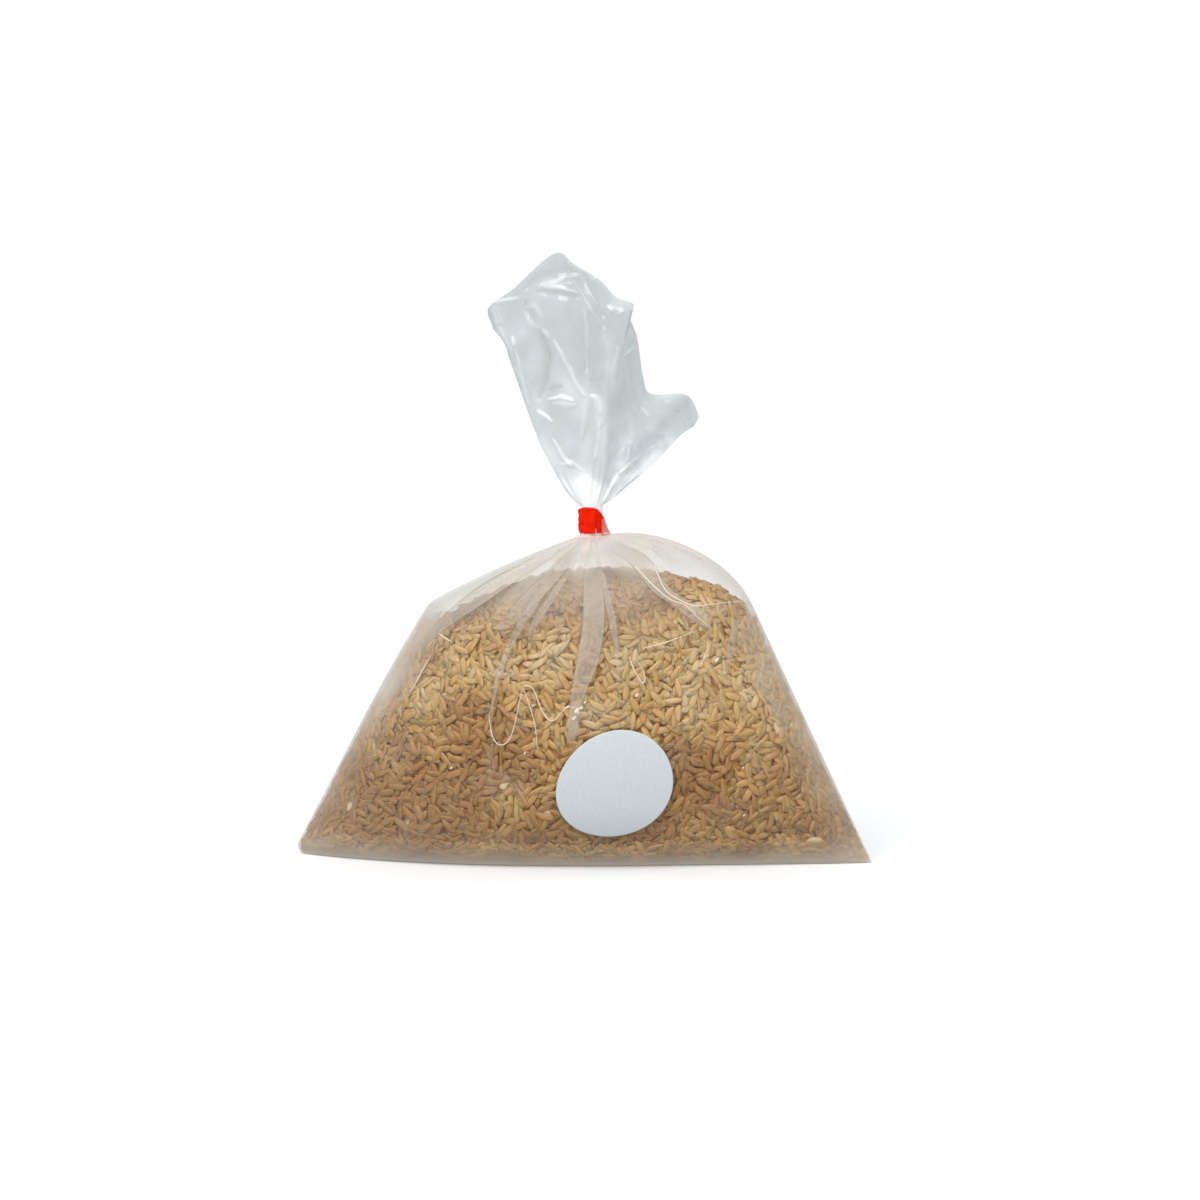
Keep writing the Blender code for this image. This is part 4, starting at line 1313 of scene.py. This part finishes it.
def label_finish(looks):
    """Coated off-white paper: a faint fibre mottle under a satin coat, darker towards the bottom as painted
    shade.
    """
    f = new_material("label_coated_paper")
    place = f.node("TexCoord").outputs["Object"]
    fibre = f.node("TexNoise", {"Vector": place}, Scale=900.0, Detail=5.0, Roughness=0.7).outputs[0]
    # Painted shade: darker towards the bottom and lighter at the top, as light falls from above
    height = f.node("SeparateXYZ", {"Vector": place}).outputs["Z"]
    painted_shade_by_height = f.node(
        "MapRange", {"Value": height}, From_Min=0.020, From_Max=0.070, To_Min=-0.35, To_Max=0.25
    ).outputs[0]
    dark = tuple(0.80 * c for c in looks.label_white)
    colour = f.ramp(f.number("ADD", painted_shade_by_height, fibre), (0.1, dark), (0.8, looks.label_white))
    relief = f.node("Bump", {"Height": fibre}, Strength=0.12, Distance=0.0002).outputs[0]
    return f.done(
        f.node("BsdfPrincipled", {"Base Color": colour, "Normal": relief}, Roughness=0.38).outputs[0]
    )


def floor_finish():
    """Plain pale floor."""
    f = new_material("pale_floor")
    place = f.node("TexCoord").outputs["Object"]
    grain = f.node("TexNoise", {"Vector": place}, Scale=3.0).outputs[0]
    colour = f.ramp(grain, (0.0, (0.92, 0.92, 0.92)), (1.0, (0.95, 0.95, 0.95)))
    return f.done(f.node("BsdfPrincipled", {"Base Color": colour}, Roughness=0.8).outputs[0])


def room_light():
    """Soft light from all round, weakest near level, and plain white to the camera and in gloss."""
    f = Wiring(bpy.data.worlds.new("white_room"), "OutputWorld")
    way = f.node("TexCoord").outputs["Generated"]
    up = f.node("SeparateXYZ", {"Vector": way}).outputs["Z"]
    share = f.number("ADD", f.number("MULTIPLY", up, 0.5), 0.5)
    glow = f.ramp(
        share, (0.0, (1.0, 1.0, 1.0)), (0.27, (0.62, 0.62, 0.62)), (0.47, (0.35, 0.37, 0.39)),
        (1.0, (0.76, 0.79, 0.81)),
    )
    path = f.node("LightPath")
    seen = f.number("MAXIMUM", path.outputs["Is Camera Ray"], path.outputs["Is Glossy Ray"])
    fill = f.node("Background", {"Color": glow}).outputs[0]
    white = f.node("Background", Color=(1, 1, 1, 1)).outputs[0]
    return f.done(f.node("MixShader", {0: seen, 1: fill, 2: white}).outputs[0])


def grid_piece(name, points, attributes=(), wrap=True, flip=False):
    """Makes a new object of a grid of points, with its faces turned round where they point inwards."""
    faces = grid_faces(*points.shape[:2], wrap=wrap)
    return mesh_piece(name, points.reshape(-1, 3), faces[:, ::-1] if flip else faces, attributes)


def thicken(piece, name, thickness, offset):
    """Gives a sheet its thickness, outwards at offset 1 and inwards at -1."""
    wall = piece.modifiers.new(name, "SOLIDIFY")
    wall.thickness = thickness
    wall.offset = offset


class RICEBAG_OT_film(bpy.types.Operator):
    """Make the film round the rice, from its bottom seam to the neck"""

    bl_idname = "rice_bag.film"
    bl_label = "Film"

    def execute(self, context):
        looks = context.scene.rice_bag_looks
        points, haze = film_body(context.scene.rice_bag_sizes)
        piece = weld(grid_piece("film_body", points, {"haze": haze}))
        finish = film_finish(
            "clear_film", looks, looks.warm_haze, edge_gain=0.22, mirror=0.008, glance=0.25, full=0.12,
            tint=looks.body_tint, thick=looks.thick_haze, red_reflection=looks.neck_red_reflection,
        )
        finish_piece(piece, finish, "bag")
        return {"FINISHED"}


class RICEBAG_OT_tail(bpy.types.Operator):
    """Make the loose film that fans out above the tape"""

    bl_idname = "rice_bag.tail"
    bl_label = "Loose film"

    def execute(self, context):
        looks = context.scene.rice_bag_looks
        points, haze = tail_film(context.scene.rice_bag_sizes)
        piece = grid_piece("film_tail", points, {"haze": haze})
        finish = film_finish(
            "loose_film", looks, looks.cool_haze, veil=0.28, edge_gain=0.16, mirror=0.06, bump=0.14,
            full=0.55, glance=0.40,
        )
        finish_piece(piece, finish, "bag")
        return {"FINISHED"}


def folded_piece(name, folds, finish, lift, rim_haze_and_highlight, stations=90, start=0.0):
    """Joins several folds, each with its haze, into one piece.

    Haze grows to their sides, as doubled film with a painted highlight along each edge, and fades evenly
    along them, and comes in over a share of their length at the start.
    """
    film = film_map()
    points, hazes, faces, first = [], [], [], 0
    for haze, path in folds:
        shape, beside, along = fold(film, path, lift, stations)
        points.append(shape.reshape(-1, 3))
        shown = ease(along / start) if start else 1.0
        rims = rim_haze_and_highlight * beside * (0.75 + 0.25 * np.sin(26 * along))
        hazes.append((shown * (haze * (1 - 0.55 * along) + rims)).ravel())
        faces.append(grid_faces(*shape.shape[:2])[:, ::-1] + first)
        first += len(points[-1])
    hazes = {"haze": np.concatenate(hazes)}
    piece = mesh_piece(name, np.concatenate(points), np.concatenate(faces), hazes)
    return finish_piece(weld(piece, 2e-6), finish, "bag")


class RICEBAG_OT_pleats(bpy.types.Operator):
    """Make the flattened pleats that run down from the neck"""

    bl_idname = "rice_bag.pleats"
    bl_label = "Pleats"

    def execute(self, context):
        looks = context.scene.rice_bag_looks
        finish = film_finish("pleated_film", looks, looks.pleat_haze, tint=UNTINTED)
        lift = context.scene.rice_bag_sizes.pleat_lift
        folded_piece("film_pleats", PLEATS.values(), finish, lift, rim_haze_and_highlight=0.10, start=0.3)
        return {"FINISHED"}


def glint_path(x, z, size):
    """A short thick fold through a point: three points (x, z, width) on a slant, widest in the middle."""
    return (
        (x - size * 0.6, z - size * 0.5, size * 0.4),
        (x, z, size * 0.8),
        (x + size * 0.5, z + size * 0.6, size * 0.3),
    )


class RICEBAG_OT_creases(bpy.types.Operator):
    """Make the sharp raised creases and small glints of the front film"""

    bl_idname = "rice_bag.creases"
    bl_label = "Creases"

    def execute(self, context):
        sizes, looks = context.scene.rice_bag_sizes, context.scene.rice_bag_looks
        finish = film_finish("creased_film", looks, looks.crease_highlight_cream, mirror=0.03, tint=UNTINTED)
        widened = [np.multiply(path, (1, 1, CREASE_WIDENING)) for path in CREASES.values()]
        creases = [(CREASE_HIGHLIGHT_HAZE, path) for path in widened]
        folded_piece("film_creases", creases, finish, sizes.crease_lift, rim_haze_and_highlight=0.15)
        glints = [(GLINT_HIGHLIGHT_HAZE, glint_path(*glint)) for glint in GLINTS]
        folded_piece("film_glints", glints, finish, sizes.glint_lift, rim_haze_and_highlight=0.20, stations=12)
        return {"FINISHED"}


class RICEBAG_OT_rice(bpy.types.Operator):
    """Fill the film with rice: a core and loose grains in layers round it"""

    bl_idname = "rice_bag.rice"
    bl_label = "Rice"

    def execute(self, context):
        looks = context.scene.rice_bag_looks
        core = weld(grid_piece("rice_core", rice_surface(CORE_INSET)), 1e-5)
        finish_piece(core, depth_finish(looks), "bag")
        finish = grain_finish(looks)
        grains = lay_grains(context.scene.rice_bag_rice, film_map(), rice_surface())
        for name, (points, faces, tone) in grains.items():
            finish_piece(mesh_piece(name, points, faces, {"tone": tone}), finish, "bag")
        return {"FINISHED"}


class RICEBAG_OT_tape(bpy.types.Operator):
    """Wind the red tape round the neck, with its loose corner"""

    bl_idname = "rice_bag.tape"
    bl_label = "Neck tape"

    def execute(self, context):
        sizes, looks = context.scene.rice_bag_sizes, context.scene.rice_bag_looks
        band = grid_piece("wound_tape", tape_band(), wrap=False)
        thicken(band, "tape_thickness", sizes.tape_thickness, 1.0)
        finish_piece(band, tape_finish(looks), "neck_tape")
        corner = grid_piece("tape_corner", tape_corner(), wrap=False, flip=True)
        thicken(corner, "corner_thickness", sizes.corner_thickness, 1.0)
        finish_piece(corner, corner_finish(looks), "neck_tape")
        return {"FINISHED"}


class RICEBAG_OT_label(bpy.types.Operator):
    """Stick the blank oval label on the front"""

    bl_idname = "rice_bag.label"
    bl_label = "Label"

    def execute(self, context):
        points = label_sheet(film_map())
        middle = np.broadcast_to(points[0].mean(axis=0), points[:1].shape)
        sheet = weld(grid_piece("oval_label", np.concatenate((middle, points))))
        thicken(sheet, "paper_thickness", context.scene.rice_bag_sizes.label_thickness, -1.0)
        finish_piece(sheet, label_finish(context.scene.rice_bag_looks), "label")
        return {"FINISHED"}


def area_light(name, size, power, place):
    """A soft rectangular light that faces the middle of the picture."""
    lamp = bpy.data.lights.new(name, "AREA")
    lamp.shape = "RECTANGLE"
    lamp.size, lamp.size_y = size
    lamp.energy = power
    made = bpy.data.objects.new(name, lamp)
    bpy.context.scene.collection.objects.link(made)
    made.location = place
    away = made.location - Vector(VIEW_MIDDLE)
    made.rotation_mode = "QUATERNION"
    made.rotation_quaternion = away.to_track_quat("Z", "Y")


def key_light():
    """A wide soft sun from above, in front and a little to the left."""
    sun = bpy.data.lights.new("soft_key", "SUN")
    sun.energy, sun.angle = 2.0, math.radians(60)
    key = bpy.data.objects.new("soft_key", sun)
    key.rotation_euler = (math.radians(38), math.radians(-14), 0)
    bpy.context.scene.collection.objects.link(key)


def level_camera(studio):
    """A camera on the front at the picture's elevation, whose frame is frame_width wide at the bag."""
    lens = bpy.data.cameras.new("camera")
    camera = bpy.data.objects.new("camera", lens)
    bpy.context.scene.collection.objects.link(camera)
    x, y, z = VIEW_MIDDLE
    e = studio.elevation
    camera.location = (x, y - studio.distance * math.cos(e), z + studio.distance * math.sin(e))
    camera.rotation_euler = (math.pi / 2 - e, 0, 0)
    lens.sensor_width = 36.0
    lens.lens = lens.sensor_width * studio.distance / studio.frame_width
    lens.clip_start = 0.05
    return camera


class RICEBAG_OT_stage(bpy.types.Operator):
    """Set up the pale floor, the soft studio light and the camera"""

    bl_idname = "rice_bag.stage"
    bl_label = "Stage"

    def execute(self, context):
        scene = context.scene
        corners = FLOOR_HALF * np.array(((-1, -1, 0), (1, -1, 0), (1, 1, 0), (-1, 1, 0)))
        floor = mesh_piece("floor", corners, np.array(((0, 1, 2, 3),)))
        floor.data.materials.append(floor_finish())
        floor.visible_diffuse = False
        scene.world = room_light()
        key_light()
        area_light("left_strip", size=(0.12, 0.5), power=0.9, place=(-0.9, -1.0, 0.8))
        area_light("right_strip", size=(0.08, 0.4), power=0.6, place=(0.8, -1.0, 0.5))
        scene.camera = level_camera(scene.rice_bag_studio)
        scene.view_settings.view_transform = "Standard"
        scene.cycles.transparent_max_bounces = 24
        scene.cycles.max_bounces = 10
        scene.cycles.use_denoising = True
        return {"FINISHED"}


STEPS = ("film", "tail", "pleats", "creases", "rice", "tape", "label", "stage")


class RICEBAG_PT_panel(bpy.types.Panel):
    """Lists the steps that build the bag, and its settings."""

    bl_idname = "RICEBAG_PT_panel"
    bl_label = "Bag of Rice"
    bl_space_type = "VIEW_3D"
    bl_region_type = "UI"
    bl_category = "Bag of Rice"

    def draw(self, context):
        for step in STEPS:
            self.layout.operator("rice_bag." + step)
        for group_name, group_class in GROUPS.items():
            for name in group_class.__annotations__:
                self.layout.prop(getattr(context.scene, group_name), name)


CLASSES = (
    BagSizes, RiceSizes, BagLooks, StudioSettings,
    RICEBAG_OT_film, RICEBAG_OT_tail, RICEBAG_OT_pleats, RICEBAG_OT_creases,
    RICEBAG_OT_rice, RICEBAG_OT_tape, RICEBAG_OT_label, RICEBAG_OT_stage,
    RICEBAG_PT_panel,
)
GROUPS = {
    "rice_bag_sizes": BagSizes,
    "rice_bag_rice": RiceSizes,
    "rice_bag_looks": BagLooks,
    "rice_bag_studio": StudioSettings,
}


def register():
    """Registers the classes and gives the scene its groups of settings."""
    for each in CLASSES:
        bpy.utils.register_class(each)
    for name, group in GROUPS.items():
        setattr(bpy.types.Scene, name, bpy.props.PointerProperty(type=group))


def unregister():
    """Takes the groups of settings and the classes away again."""
    for name in GROUPS:
        delattr(bpy.types.Scene, name)
    for each in reversed(CLASSES):
        bpy.utils.unregister_class(each)


def main():
    """Builds the bag and its stage step by step."""
    register()
    for step in STEPS:
        getattr(bpy.ops.rice_bag, step)()


if __name__ == "__main__":
    main()
